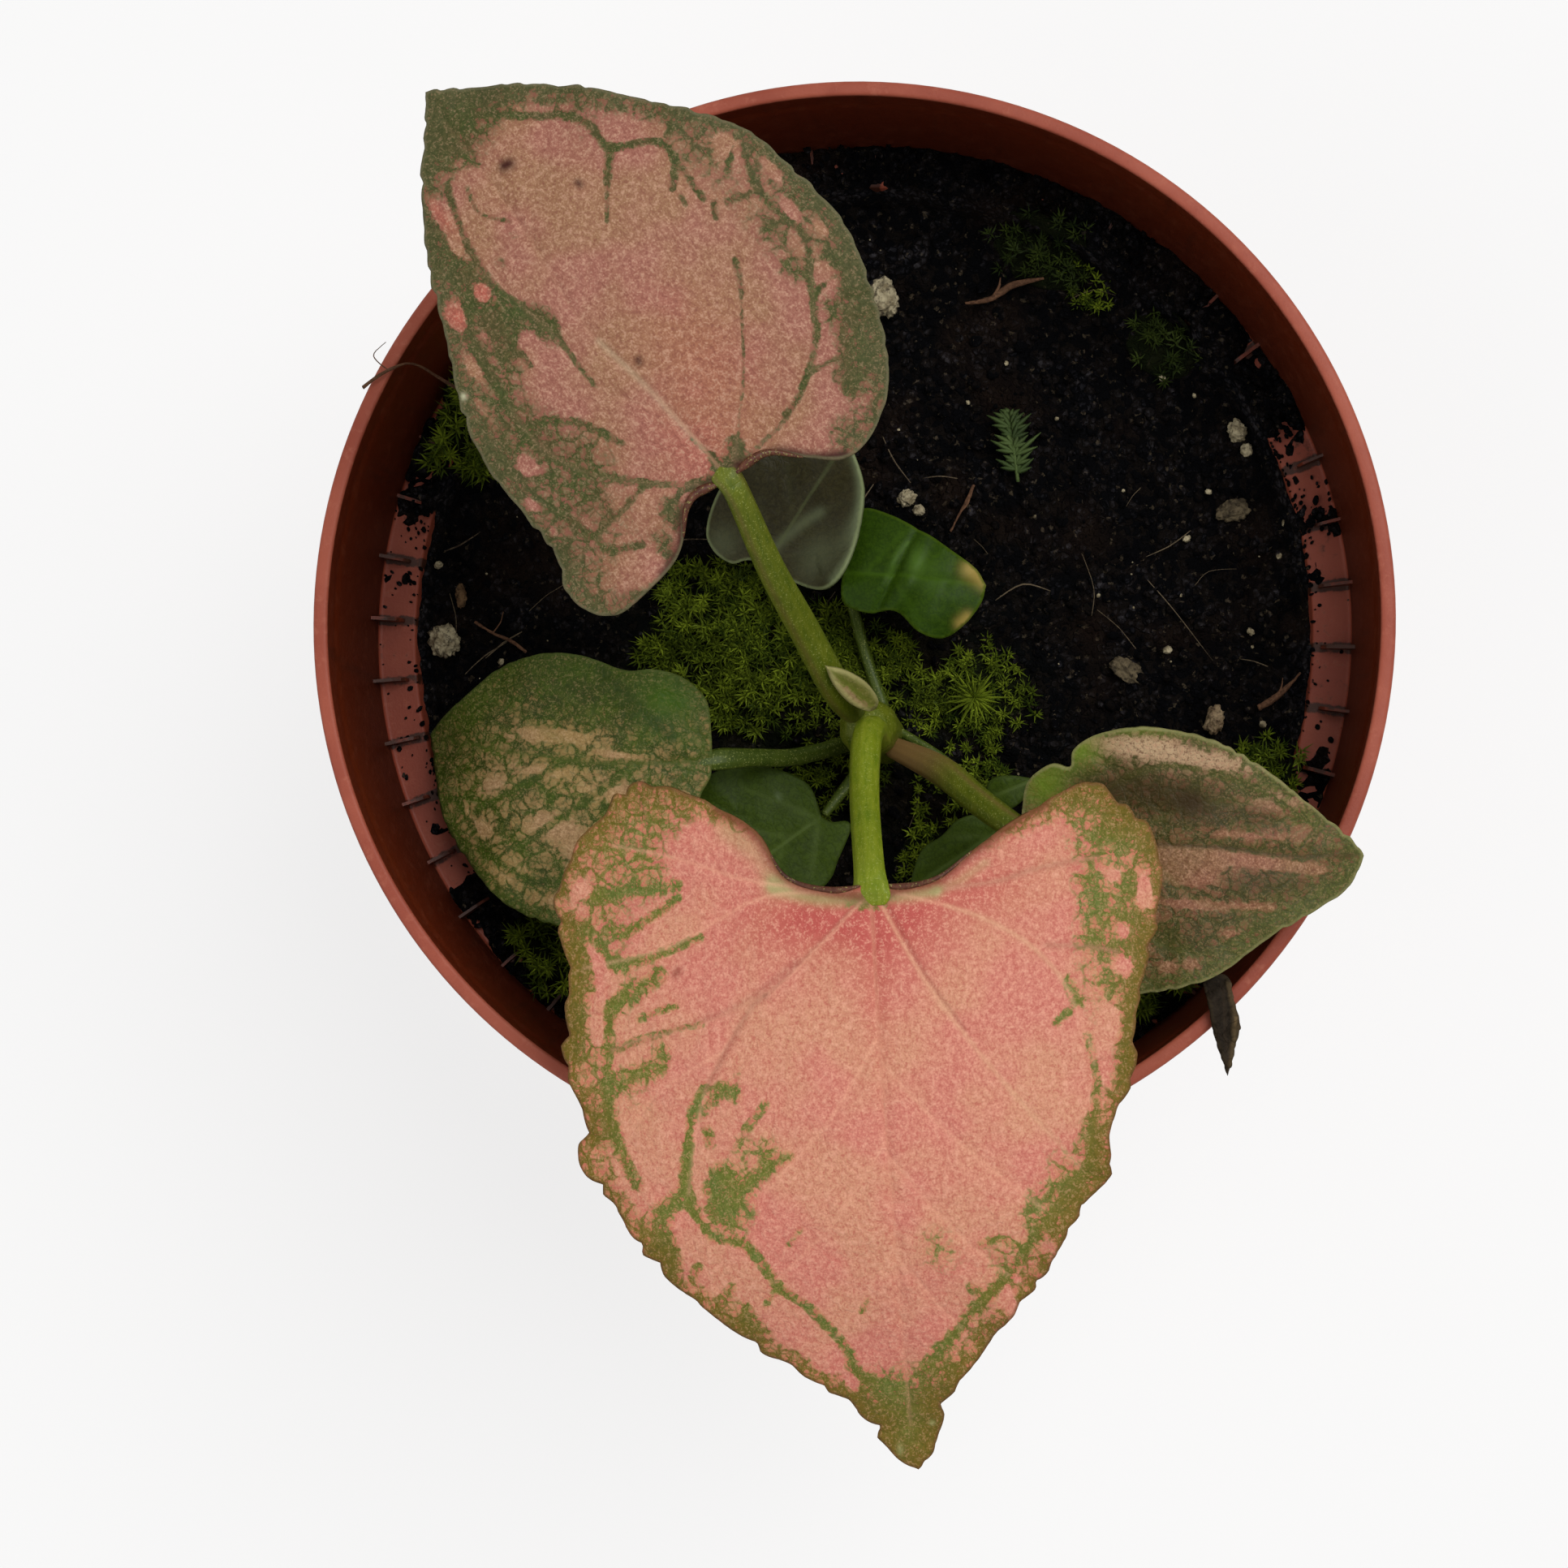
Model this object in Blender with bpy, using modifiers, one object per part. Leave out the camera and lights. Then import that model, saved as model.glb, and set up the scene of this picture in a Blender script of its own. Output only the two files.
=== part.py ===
"""Potted syngonium: a young arrowhead plant in a 9 cm plastic nursery pot.

The origin is the middle of the pot's underside, on the surface that the pot stands on, and +Z is up.
All sizes below are in millimetres and are turned into metres where a mesh is made.
"""
import math

import bpy
import bmesh
import numpy as np
from mathutils import Vector

MM = 0.001
GAP = 0.3                      # clearance between pieces that lie against each other

# ---- pot ------------------------------------------------------------------
POT_HEIGHT = 75.0
RIM_RADIUS = 45.0
LIP_WIDTH = 1.4
BAND_HEIGHT = 15.0             # straight band from the ledge up to the lip
BAND_TAPER = 0.9               # the band is this much narrower at the ledge
LEDGE_WIDTH = 3.3
WALL = 1.0
BASE_RADIUS = 31.0
FLOOR_TOP = 2.7
FLOOR_BOTTOM = 1.2             # the floor is recessed between foot ring and boss
FOOT_WIDTH = 3.5
BOSS_RADIUS = 8.0
RIB_COUNT = 48
RIB_THICKNESS = 0.8
RIB_HEIGHT = 3.2
DRAIN_COUNT = 8
DRAIN_RADIUS = 2.5
DRAIN_CIRCLE = 19.0
POT_STEPS = 48

LEDGE_Z = POT_HEIGHT - BAND_HEIGHT
LIP_INNER = RIM_RADIUS - LIP_WIDTH
LEDGE_OUTER = LIP_INNER - BAND_TAPER
LEDGE_INNER = LEDGE_OUTER - LEDGE_WIDTH
FLOOR_RADIUS = BASE_RADIUS - WALL

# ---- soil -----------------------------------------------------------------
SOIL_LEVEL = 57.6
SOIL_SWELL = 0.4
SOIL_RINGS = 7

# ---- crown ----------------------------------------------------------------
CROWN_ROUTE = [(2.4, -9.6, 54.0), (1.9, -9.0, 62.0), (1.5, -8.7, 69.8)]
CROWN_RADII = [1.9, 2.1, 2.5]
SOCKET_RADIUS = 2.5
SOCKET_DEPTH = 5.0

BLADE_THICKNESS = 0.5
EDGE_STEPS = 2                 # spline steps between two points of a big blade's edge
BLADE_RINGS = 5

GREEN = (0.16, 0.27, 0.05)
PINK = (0.62, 0.26, 0.20)
OLIVE = (0.12, 0.17, 0.07)
DARK_LEAF = (0.05, 0.07, 0.04)
BRIGHT = (0.10, 0.24, 0.02)
MOSS_GREEN = (0.07, 0.15, 0.02)
TERRACOTTA = (0.36, 0.09, 0.05)
PEAT = (0.012, 0.011, 0.011)
PALE_GRAIN = (0.45, 0.38, 0.28)
BARK = (0.10, 0.06, 0.03)

# A blade lies in its own frame: s runs from the stalk towards the tip and t to the left of that way.
# base is where the stalk joins, heading is the tip's direction in degrees from +X, hub is the point
# that the rings close on, ridge gives the height along s, and cups curve the halves up (+) or down.
BLADES = {
    "front_leaf_blade": dict(
        base=(3.1, -22.4, 91.0), heading=-86.0, hub=(9.0, 0.0), notch=(-0.6, 0.0), tip=(45.7, 0.0),
        left=[(-0.2, 2.5), (-0.7, 5.3), (-2.6, 8.1), (-4.9, 11.8), (-7.3, 17.2), (-5.8, 19.3),
              (-3.2, 21.8), (1.0, 22.4), (6.0, 21.0), (11.0, 19.6), (15.5, 19.0), (19.3, 17.0),
              (22.5, 16.8), (25.5, 14.2), (30.0, 11.3), (34.5, 6.8), (38.5, 3.5)],
        right=[(-0.3, -3.0), (-1.6, -6.5), (-5.2, -8.5), (-8.0, -12.6), (-9.7, -17.5), (-7.8, -20.5),
               (-4.5, -23.6), (0.0, -25.2), (5.0, -24.3), (11.0, -25.0), (16.0, -23.6), (19.7, -24.0),
               (22.5, -22.0), (28.0, -18.5), (34.5, -11.8), (39.0, -6.0), (43.0, -2.6)],
        ridge=[(-10.0, 91.6), (0.0, 91.0), (10.0, 92.8), (20.0, 93.2), (30.0, 91.2), (46.0, 82.5)],
        cup_left=-0.0065, cup_right=-0.0065, colour=PINK),
    "upper_left_leaf_blade": dict(
        base=(-7.2, 8.8, 96.5), heading=128.3, hub=(6.5, 0.0), notch=(0.0, 0.0), tip=(37.5, 0.0),
        left=[(0.8, 2.4), (0.3, 4.0), (-1.6, 6.1), (-2.5, 9.0), (-2.4, 13.0), (-0.6, 14.8),
              (1.6, 15.0), (4.1, 13.9), (8.2, 13.8), (12.5, 13.7), (17.0, 12.3), (22.0, 9.8),
              (28.0, 7.0), (32.5, 3.7)],
        right=[(0.2, -1.6), (-0.2, -3.7), (-2.2, -5.6), (-4.1, -7.8), (-3.9, -10.5), (-2.0, -13.7),
               (1.5, -16.0), (6.0, -17.9), (10.4, -18.9), (15.5, -18.3), (20.0, -17.3),
               (24.0, -14.4), (28.0, -11.3), (31.0, -9.0), (34.0, -5.3)],
        ridge=[(-5.0, 96.2), (0.0, 96.5), (12.0, 99.5), (24.0, 100.5), (37.5, 98.0)],
        cup_left=-0.006, cup_right=-0.006, colour=PINK),
    "right_leaf_blade": dict(
        base=(14.8, -17.6, 79.0), heading=-4.2, hub=(5.5, -1.0), notch=(-0.3, 0.0), tip=(27.1, 0.0),
        left=[(-0.3, 1.6), (0.0, 4.0), (1.7, 5.5), (3.3, 5.4), (3.5, 6.8), (5.5, 8.2), (9.5, 8.9),
              (14.0, 8.3), (18.0, 6.6), (22.0, 4.0), (26.0, 1.2)],
        right=[(-0.5, -1.6), (-1.5, -4.5), (-0.5, -8.5), (4.0, -11.5), (8.0, -12.4), (12.0, -11.9),
               (16.0, -10.4), (20.0, -7.0), (23.5, -4.6), (26.0, -2.6)],
        ridge=[(-2.0, 79.0), (0.0, 79.0), (10.0, 81.0), (20.0, 81.0), (27.0, 78.6)],
        cup_left=0.02, cup_right=-0.005, colour=OLIVE),
    "left_leaf_blade": dict(
        base=(-11.7, -11.4, 70.0), heading=174.9, hub=(8.0, 2.0), notch=(0.0, 0.0), tip=(25.6, -0.3),
        left=[(0.0, 1.5), (0.7, 3.2), (1.2, 7.0), (4.0, 12.0), (8.0, 14.8), (12.3, 15.0),
              (16.5, 13.8), (20.0, 11.0), (23.0, 7.5), (24.7, 3.2)],
        right=[(0.2, -2.0), (0.9, -4.9), (3.0, -6.7), (5.5, -7.2), (8.0, -6.9), (11.5, -7.8),
               (15.0, -7.8), (19.0, -6.4), (22.0, -3.9), (24.5, -1.7)],
        ridge=[(-2.0, 69.5), (0.0, 70.0), (8.0, 71.2), (15.0, 70.5), (20.0, 68.0), (25.6, 63.5)],
        cup_left=-0.008, cup_right=-0.008, colour=GREEN),
    "dark_leaf_blade": dict(
        base=(-7.4, 6.1, 64.0), heading=56.2, hub=(3.5, 0.0), notch=(-0.3, 0.0), tip=(12.5, 0.0),
        left=[(-1.0, 1.6), (-2.0, 2.6), (-2.0, 4.4), (-0.7, 6.0), (3.0, 6.8), (7.0, 5.5), (10.0, 3.0)],
        right=[(-0.6, -1.2), (0.0, -4.8), (1.2, -6.1), (3.5, -6.2), (6.8, -5.2), (9.9, -3.4)],
        ridge=[(-2.0, 64.0), (4.0, 65.0), (12.5, 66.5)],
        cup_left=0.02, cup_right=0.05, colour=DARK_LEAF),
    "curled_leaf_blade": dict(
        base=(-0.9, 4.9, 65.0), heading=-5.9, hub=(5.0, 0.0), notch=(0.0, 0.0), tip=(12.3, 0.0),
        left=[(0.0, 3.0), (1.0, 5.6), (3.7, 5.2), (6.4, 4.0), (9.0, 2.7), (11.3, 1.3)],
        right=[(0.3, -2.5), (2.5, -3.3), (5.0, -3.0), (7.0, -4.5), (9.0, -4.8), (10.8, -3.5),
               (12.0, -1.6)],
        ridge=[(-1.0, 65.0), (6.0, 67.0), (12.3, 65.5)],
        cup_left=-0.05, cup_right=-0.05, colour=BRIGHT),
    "low_left_leaf_blade": dict(
        base=(-3.0, -16.1, 62.5), heading=-144.5, hub=(3.5, -1.5), notch=(0.0, 0.0), tip=(12.0, 0.0),
        left=[(-0.5, 0.9), (-1.6, 1.6), (-1.4, 2.4), (0.8, 3.8), (3.0, 5.0), (7.0, 5.0), (10.5, 2.5)],
        right=[(-0.7, -2.2), (-0.5, -3.6), (0.7, -5.6), (2.5, -7.3), (5.2, -8.5), (8.0, -7.8),
               (10.5, -4.5)],
        ridge=[(-2.0, 62.6), (5.0, 63.4), (12.0, 64.0)],
        cup_left=0.0, cup_right=0.0, colour=GREEN),
    "low_right_leaf_blade": dict(
        base=(12.5, -17.2, 62.8), heading=-146.8, hub=(4.0, 0.0), notch=(0.0, 0.0), tip=(9.4, 0.0),
        left=[(0.5, 1.5), (3.0, 3.0), (6.0, 2.8)],
        right=[(0.8, -2.0), (2.6, -2.7), (4.5, -2.3), (6.4, -2.3), (8.0, -1.3)],
        ridge=[(-1.0, 62.8), (4.0, 63.2), (9.4, 63.2)],
        cup_left=0.03, cup_right=0.03, colour=OLIVE),
    "tiny_leaf_blade": dict(
        base=(11.3, -14.6, 64.0), heading=21.9, hub=(2.0, 0.0), notch=(0.0, 0.0), tip=(4.6, 0.0),
        left=[(0.8, 1.3), (2.4, 1.2)],
        right=[(0.8, -1.4), (2.6, -1.4)],
        ridge=[(0.0, 64.0), (2.0, 64.4), (4.6, 64.0)],
        cup_left=0.0, cup_right=0.0, colour=BRIGHT),
    "sheath_upper_left": dict(
        base=(2.4, -7.2, 73.8), heading=140.4, hub=(2.2, 0.0), notch=(0.0, 0.0), tip=(4.6, 0.0),
        left=[(0.3, 0.7), (1.6, 1.0), (3.2, 0.7)],
        right=[(0.3, -0.7), (1.6, -1.0), (3.2, -0.7)],
        ridge=[(0.0, 73.8), (2.3, 77.4), (4.6, 80.9)],
        cup_left=0.0, cup_right=0.0, colour=GREEN),
    "withered_scrap": dict(
        base=(30.4, -29.1, 75.9), heading=-84.7, hub=(3.8, 0.0), notch=(0.0, 0.0), tip=(8.3, 0.0),
        left=[(0.5, 0.8), (2.0, 1.0), (4.2, 1.3), (6.0, 0.8)],
        right=[(0.5, -1.2), (2.7, -1.0), (5.0, -0.8)],
        ridge=[(0.0, 75.9), (4.0, 75.9), (8.3, 75.8)],
        cup_left=0.0, cup_right=0.0, colour=BARK),
}

# Stalks: route points from foot to blade, and the radius at each.
STALKS = {
    "front_leaf_stalk": dict(
        route=[(2.4, -9.7, 70.2), (2.1, -9.1, 74.0), (1.9, -10.4, 77.6), (2.1, -14.9, 82.6),
               (3.0, -21.2, 90.5)],
        radii=[0.95, 1.2, 1.25, 1.2, 1.3], colour=GREEN),
    "upper_left_leaf_stalk": dict(
        route=[(0.5, -7.5, 70.2), (-0.6, -6.0, 75.5), (-2.8, -1.4, 82.0), (-4.8, 2.8, 88.6),
               (-6.95, 8.3, 96.15)],
        radii=[0.95, 1.25, 1.2, 1.1, 0.8], colour=GREEN),
    "right_leaf_stalk": dict(
        route=[(4.3, -10.6, 66.6), (7.6, -12.3, 70.0), (10.8, -14.9, 74.0), (13.8, -17.1, 77.9)],
        radii=[0.8, 1.2, 1.2, 1.0], colour=GREEN),
    "left_leaf_stalk": dict(
        route=[(-1.2, -9.7, 60.9), (-5.0, -10.9, 64.2), (-8.5, -11.1, 67.2), (-11.0, -11.3, 69.0)],
        radii=[0.6, 0.7, 0.7, 0.65], colour=GREEN),
    "dark_leaf_stalk": dict(
        route=[(-0.9, -7.6, 62.4), (-3.4, -2.0, 62.9), (-6.9, 5.3, 63.0)],
        radii=[0.5, 0.5, 0.4], colour=OLIVE),
    "curled_leaf_stalk": dict(
        route=[(2.2, -6.1, 62.6), (0.4, -1.0, 63.6), (-0.8, 4.2, 64.0)],
        radii=[0.5, 0.5, 0.5], colour=GREEN),
    "low_left_leaf_stalk": dict(
        route=[(0.6, -11.5, 60.6), (-1.2, -13.8, 61.6), (-2.6, -15.6, 61.6)],
        radii=[0.5, 0.5, 0.4], colour=GREEN),
    "low_right_leaf_stalk": dict(
        route=[(4.3, -10.3, 62.0), (8.2, -13.6, 62.2), (12.0, -16.9, 62.0)],
        radii=[0.45, 0.45, 0.4], colour=GREEN),
    "tiny_leaf_stalk": dict(
        route=[(4.5, -8.9, 63.4), (7.8, -11.2, 63.9), (10.8, -14.0, 63.6)],
        radii=[0.35, 0.35, 0.3], colour=GREEN),
}

# Moss cushions on the soil: centre x, y, half widths along and across, turn in degrees, height.
MOSS = {
    "moss_middle": (-10.5, -1.0, 9.5, 7.0, 0.0, 2.8),
    "moss_star": (10.5, -5.2, 5.0, 4.2, 20.0, 3.0),
    "moss_lower": (8.2, -20.5, 5.5, 4.0, -10.0, 2.2),
    "moss_left_wall": (-30.8, 19.2, 5.0, 3.6, 58.0, 3.6),
    "moss_low_left": (-24.0, -25.2, 5.2, 3.6, -43.0, 3.4),
    "moss_low_right": (22.4, -27.6, 5.2, 3.4, 40.0, 3.2),
    "moss_right_wall": (33.5, -12.5, 3.6, 2.6, 70.0, 2.6),
    "moss_back": (15.4, 32.4, 5.0, 2.8, -25.0, 2.4),
    "moss_back_right": (25.6, 24.6, 3.8, 2.6, -45.0, 2.2),
}

# Grains lying on the soil: centre x, y, half sizes along, across and up, turn in degrees.
GRAINS = {
    "pebble_back": (2.6, 29.6, 1.1, 1.5, 1.0, 10.0),
    "pebble_left": (-36.9, -0.2, 1.2, 1.3, 1.0, 0.0),
    "perlite_middle": (4.4, 11.9, 0.75, 0.6, 0.55, 30.0),
    "perlite_right": (33.3, 16.9, 0.9, 0.7, 0.6, -60.0),
    "bark_chip_right": (32.4, 10.7, 1.5, 0.8, 0.5, 15.0),
    "bark_chip_left": (-35.4, 4.6, 0.5, 1.0, 0.4, 5.0),
    "pebble_right": (31.0, -7.6, 0.8, 1.2, 0.8, -15.0),
    "bark_chip_middle": (23.5, -3.2, 1.6, 0.9, 0.4, -30.0),
}

# Fibres and twigs: x, y and height above the soil of each point, and the radius.
TWIGS = {
    "twig_left": ([(-34.0, 1.9, 1.3), (-31.6, 0.2, 1.1), (-29.2, -1.6, 1.2)], 0.3),
    "twig_right": ([(33.4, -6.0, 1.0), (35.4, -4.4, 1.1), (37.0, -2.9, 1.5)], 0.3),
    "root_back": ([(8.8, 28.8, 0.9), (11.8, 30.4, 1.0), (15.2, 28.4, 1.1)], 0.35),
    "root_middle": ([(8.1, 8.8, 0.8), (9.2, 10.8, 0.9), (10.1, 13.0, 0.8)], 0.3),
}

ROOTLET_ROUTE = [(-40.6, 19.8, 75.6), (-38.4, 21.2, 75.7), (-36.6, 22.0, 74.0), (-34.8, 21.2, 69.5),
                 (-33.0, 20.4, 63.6)]
ROOTLET_RADIUS = 0.25

# A seedling on the soil: place of its foot, heading in degrees, height above the soil, and the reach
# of its leaflets to the left and to the right at stations along its stem.
SPRIG_BASE = (14.0, 13.4)
SPRIG_HEADING = 97.0
SPRIG_LIFT = 1.0
SPRIG_THICKNESS = 0.4
SPRIG_STATIONS = [(0.0, 0.25, 0.25), (0.9, 0.35, 0.35), (1.0, 2.2, 0.4), (1.6, 0.4, 1.6), (1.9, 0.4, 0.4),
                  (2.4, 2.4, 0.4), (3.0, 0.4, 2.2), (3.3, 0.4, 0.4), (3.9, 2.2, 0.4), (4.4, 0.35, 2.3),
                  (4.8, 0.35, 0.35), (5.3, 1.9, 0.35), (5.7, 0.3, 1.7), (6.0, 0.3, 0.3), (6.7, 0.15, 0.15)]


def clear_scene():
    for item in list(bpy.data.objects):
        bpy.data.objects.remove(item, do_unlink=True)


def collection(name):
    made = bpy.data.collections.new(name)
    bpy.context.scene.collection.children.link(made)
    return made


def material(name, colour, roughness):
    made = bpy.data.materials.new(name)
    made.use_nodes = True
    shader = made.node_tree.nodes["Principled BSDF"]
    shader.inputs["Base Color"].default_value = (*colour, 1.0)
    shader.inputs["Roughness"].default_value = roughness
    shader.inputs["Metallic"].default_value = 0.0
    return made


def add_object(name, data, colour, roughness, group):
    made = bpy.data.objects.new(name, data)
    group.objects.link(made)
    data.materials.append(material(name + "_finish", colour, roughness))
    return made


def add_mesh(name, points, faces, colour, roughness, group):
    """An object from points in millimetres."""
    mesh = bpy.data.meshes.new(name)
    mesh.from_pydata([tuple(MM * value for value in point) for point in points], [], faces)
    mesh.shade_smooth()
    return add_object(name, mesh, colour, roughness, group)


def spline(points, steps):
    """Catmull-Rom curve through the points, as an array with steps samples a span."""
    knots = np.array([points[0], *points, points[-1]], dtype=float)
    rows = []
    for index in range(1, len(knots) - 2):
        before, start, end, after = knots[index - 1:index + 3]
        for step in range(steps):
            u = step / steps
            rows.append(0.5 * (2 * start + (end - before) * u
                               + (2 * before - 5 * start + 4 * end - after) * u ** 2
                               + (3 * start - before - 3 * end + after) * u ** 3))
    rows.append(knots[-2])
    return np.array(rows)


def ridge_height(ridge, s):
    """Height along the midrib: a smooth curve through the ridge's (s, z) points."""
    curve = spline(ridge, 8)
    return np.interp(s, curve[:, 0], curve[:, 1])


def soil_height(x, y):
    return SOIL_LEVEL + SOIL_SWELL * math.sin(0.16 * x + 0.6) * math.cos(0.14 * y - 0.3)


def inside_wall(x, y):
    """The same place, pulled in where it would reach the pot's wall."""
    reach = math.hypot(x, y)
    limit = LEDGE_INNER - 2.6 * GAP
    pull = min(1.0, limit / reach) if reach > 0.0 else 1.0
    return x * pull, y * pull


def turned(name, profile, steps, colour, roughness, group):
    """A solid of revolution: the profile runs in (r, z) from the axis, over the top and down outside."""
    mesh = bpy.data.meshes.new(name)
    edges = [(index, index + 1) for index in range(len(profile) - 1)]
    mesh.from_pydata([(MM * r, 0.0, MM * z) for r, z in profile], edges, [])
    made = add_object(name, mesh, colour, roughness, group)
    screw = made.modifiers.new("turn", "SCREW")
    screw.axis = "Z"
    screw.steps = steps
    screw.render_steps = steps
    screw.use_merge_vertices = True
    screw.merge_threshold = 0.000001
    screw.use_smooth_shade = True
    return made


def as_mesh(item, group):
    """The object with its modifiers applied, as a plain mesh object of the same name."""
    evaluated = item.evaluated_get(bpy.context.evaluated_depsgraph_get())
    mesh = bpy.data.meshes.new_from_object(evaluated)
    name = item.name
    place = item.matrix_world.copy()
    bpy.data.objects.remove(item, do_unlink=True)
    made = bpy.data.objects.new(name, mesh)
    made.matrix_world = place
    group.objects.link(made)
    return made


def join_with(item, cutter, operation):
    modifier = item.modifiers.new(operation.lower(), "BOOLEAN")
    modifier.operation = operation
    modifier.object = cutter


def hidden_cutter(name, build, group):
    """A guide mesh for a Boolean; build fills the bmesh."""
    work = bmesh.new()
    build(work)
    mesh = bpy.data.meshes.new(name)
    work.to_mesh(mesh)
    work.free()
    made = bpy.data.objects.new(name, mesh)
    made.hide_render = True
    made.display_type = "WIRE"
    group.objects.link(made)
    return made


def fill_ribs(work):
    """The upright ribs that stand on the ledge against the band."""
    overlap = 0.4
    length = 2.6 + overlap
    middle = LEDGE_OUTER + overlap - length / 2
    for index in range(RIB_COUNT):
        angle = 2 * math.pi * (index + 0.5) / RIB_COUNT
        made = bmesh.ops.create_cube(work, size=MM)
        bmesh.ops.scale(work, verts=made["verts"],
                        vec=(length, RIB_THICKNESS, RIB_HEIGHT + overlap))
        bmesh.ops.translate(work, verts=made["verts"],
                            vec=Vector((middle, 0.0, LEDGE_Z + (RIB_HEIGHT - overlap) / 2)) * MM)
        for vert in made["verts"]:
            x, y, z = vert.co
            vert.co = (x * math.cos(angle) - y * math.sin(angle),
                       x * math.sin(angle) + y * math.cos(angle), z)


def fill_drains(work):
    """The round drain holes through the floor."""
    for index in range(DRAIN_COUNT):
        angle = 2 * math.pi * (index + 0.5) / DRAIN_COUNT
        made = bmesh.ops.create_cone(work, cap_ends=True, segments=12, radius1=DRAIN_RADIUS * MM,
                                     radius2=DRAIN_RADIUS * MM, depth=6.0 * MM)
        place = Vector((DRAIN_CIRCLE * math.cos(angle), DRAIN_CIRCLE * math.sin(angle), FLOOR_BOTTOM))
        bmesh.ops.translate(work, verts=made["verts"], vec=place * MM)


def add_pot(group, cutters):
    band_outer = LEDGE_OUTER + LIP_WIDTH
    shoulder = LEDGE_Z - 1.2
    profile = [
        (0.0, FLOOR_TOP), (FLOOR_RADIUS, FLOOR_TOP), (LEDGE_INNER, LEDGE_Z), (LEDGE_OUTER, LEDGE_Z),
        (LIP_INNER, POT_HEIGHT - 0.4), (LIP_INNER + 0.3, POT_HEIGHT), (RIM_RADIUS - 0.4, POT_HEIGHT),
        (RIM_RADIUS, POT_HEIGHT - 0.5), (RIM_RADIUS, POT_HEIGHT - 2.5),
        (RIM_RADIUS - 0.5, POT_HEIGHT - 3.0), (band_outer, shoulder), (LEDGE_INNER + WALL, shoulder),
        (BASE_RADIUS, 0.0), (BASE_RADIUS - FOOT_WIDTH, 0.0),
        (BASE_RADIUS - FOOT_WIDTH - 0.6, FLOOR_BOTTOM), (BOSS_RADIUS + 0.6, FLOOR_BOTTOM),
        (BOSS_RADIUS, 0.0), (0.0, 0.0)]
    pot = turned("pot", profile, POT_STEPS, TERRACOTTA, 0.5, group)
    pot.data.materials[0].node_tree.nodes["Principled BSDF"].inputs["Specular IOR Level"].default_value = 0.4
    join_with(pot, hidden_cutter("rib_guides", fill_ribs, cutters), "UNION")
    join_with(pot, hidden_cutter("drain_guides", fill_drains, cutters), "DIFFERENCE")
    return pot


def add_soil(group, cutters):
    """The peat mix: it fills the pot to just under the ledge and has a softly uneven top."""
    slope = (LEDGE_INNER - FLOOR_RADIUS) / (LEDGE_Z - FLOOR_TOP)
    side_gap = 1.2 * GAP

    def wall_radius(z):
        return FLOOR_RADIUS + slope * (z - FLOOR_TOP) - side_gap

    bottom = FLOOR_TOP + GAP
    edge = SOIL_LEVEL - SOIL_SWELL - 0.3
    top_radius = wall_radius(edge)
    shoulder = top_radius - 0.5
    top = [(shoulder * ring / SOIL_RINGS, SOIL_LEVEL) for ring in range(SOIL_RINGS + 1)]
    profile = [*top, (top_radius, edge), (wall_radius(bottom), bottom), (0.0, bottom)]
    soil = turned("potting_soil", profile, POT_STEPS, PEAT, 0.95, group)
    soil = as_mesh(soil, group)
    for vert in soil.data.vertices:
        if vert.co.z > (edge + 0.1) * MM:
            vert.co.z = soil_height(vert.co.x / MM, vert.co.y / MM) * MM
    x, y, _ = CROWN_ROUTE[0]

    def fill_socket(work):
        made = bmesh.ops.create_cone(work, cap_ends=True, segments=12, radius1=SOCKET_RADIUS * MM,
                                     radius2=SOCKET_RADIUS * MM, depth=2 * SOCKET_DEPTH * MM)
        bmesh.ops.translate(work, verts=made["verts"], vec=Vector((x - 0.1, y + 0.1, 58.6)) * MM)

    join_with(soil, hidden_cutter("socket_guide", fill_socket, cutters), "DIFFERENCE")
    return soil


def add_tube(name, route, radii, colour, group, steps=2):
    """A stem or fibre: a curve with a round section and filled ends."""
    places = spline(route, steps)
    sizes = spline([(radius, 0.0) for radius in radii], steps)[:, 0]
    curve = bpy.data.curves.new(name, "CURVE")
    curve.dimensions = "3D"
    curve.bevel_depth = MM
    curve.bevel_resolution = 2
    curve.use_fill_caps = True
    line = curve.splines.new("POLY")
    line.points.add(len(places) - 1)
    for point, place, size in zip(line.points, places, sizes):
        point.co = (*(MM * value for value in place), 1.0)
        point.radius = size
    return add_object(name, curve, colour, 0.45, group)


def blade_points(spec, s, t):
    """Places in the pot's frame of points s, t of a blade."""
    turn = math.radians(spec["heading"])
    cup = np.where(t > 0, spec["cup_left"], spec["cup_right"])
    x = spec["base"][0] + s * math.cos(turn) - t * math.sin(turn)
    y = spec["base"][1] + s * math.sin(turn) + t * math.cos(turn)
    z = ridge_height(spec["ridge"], s) + cup * t ** 2
    return np.stack([x, y, z], axis=-1)


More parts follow.
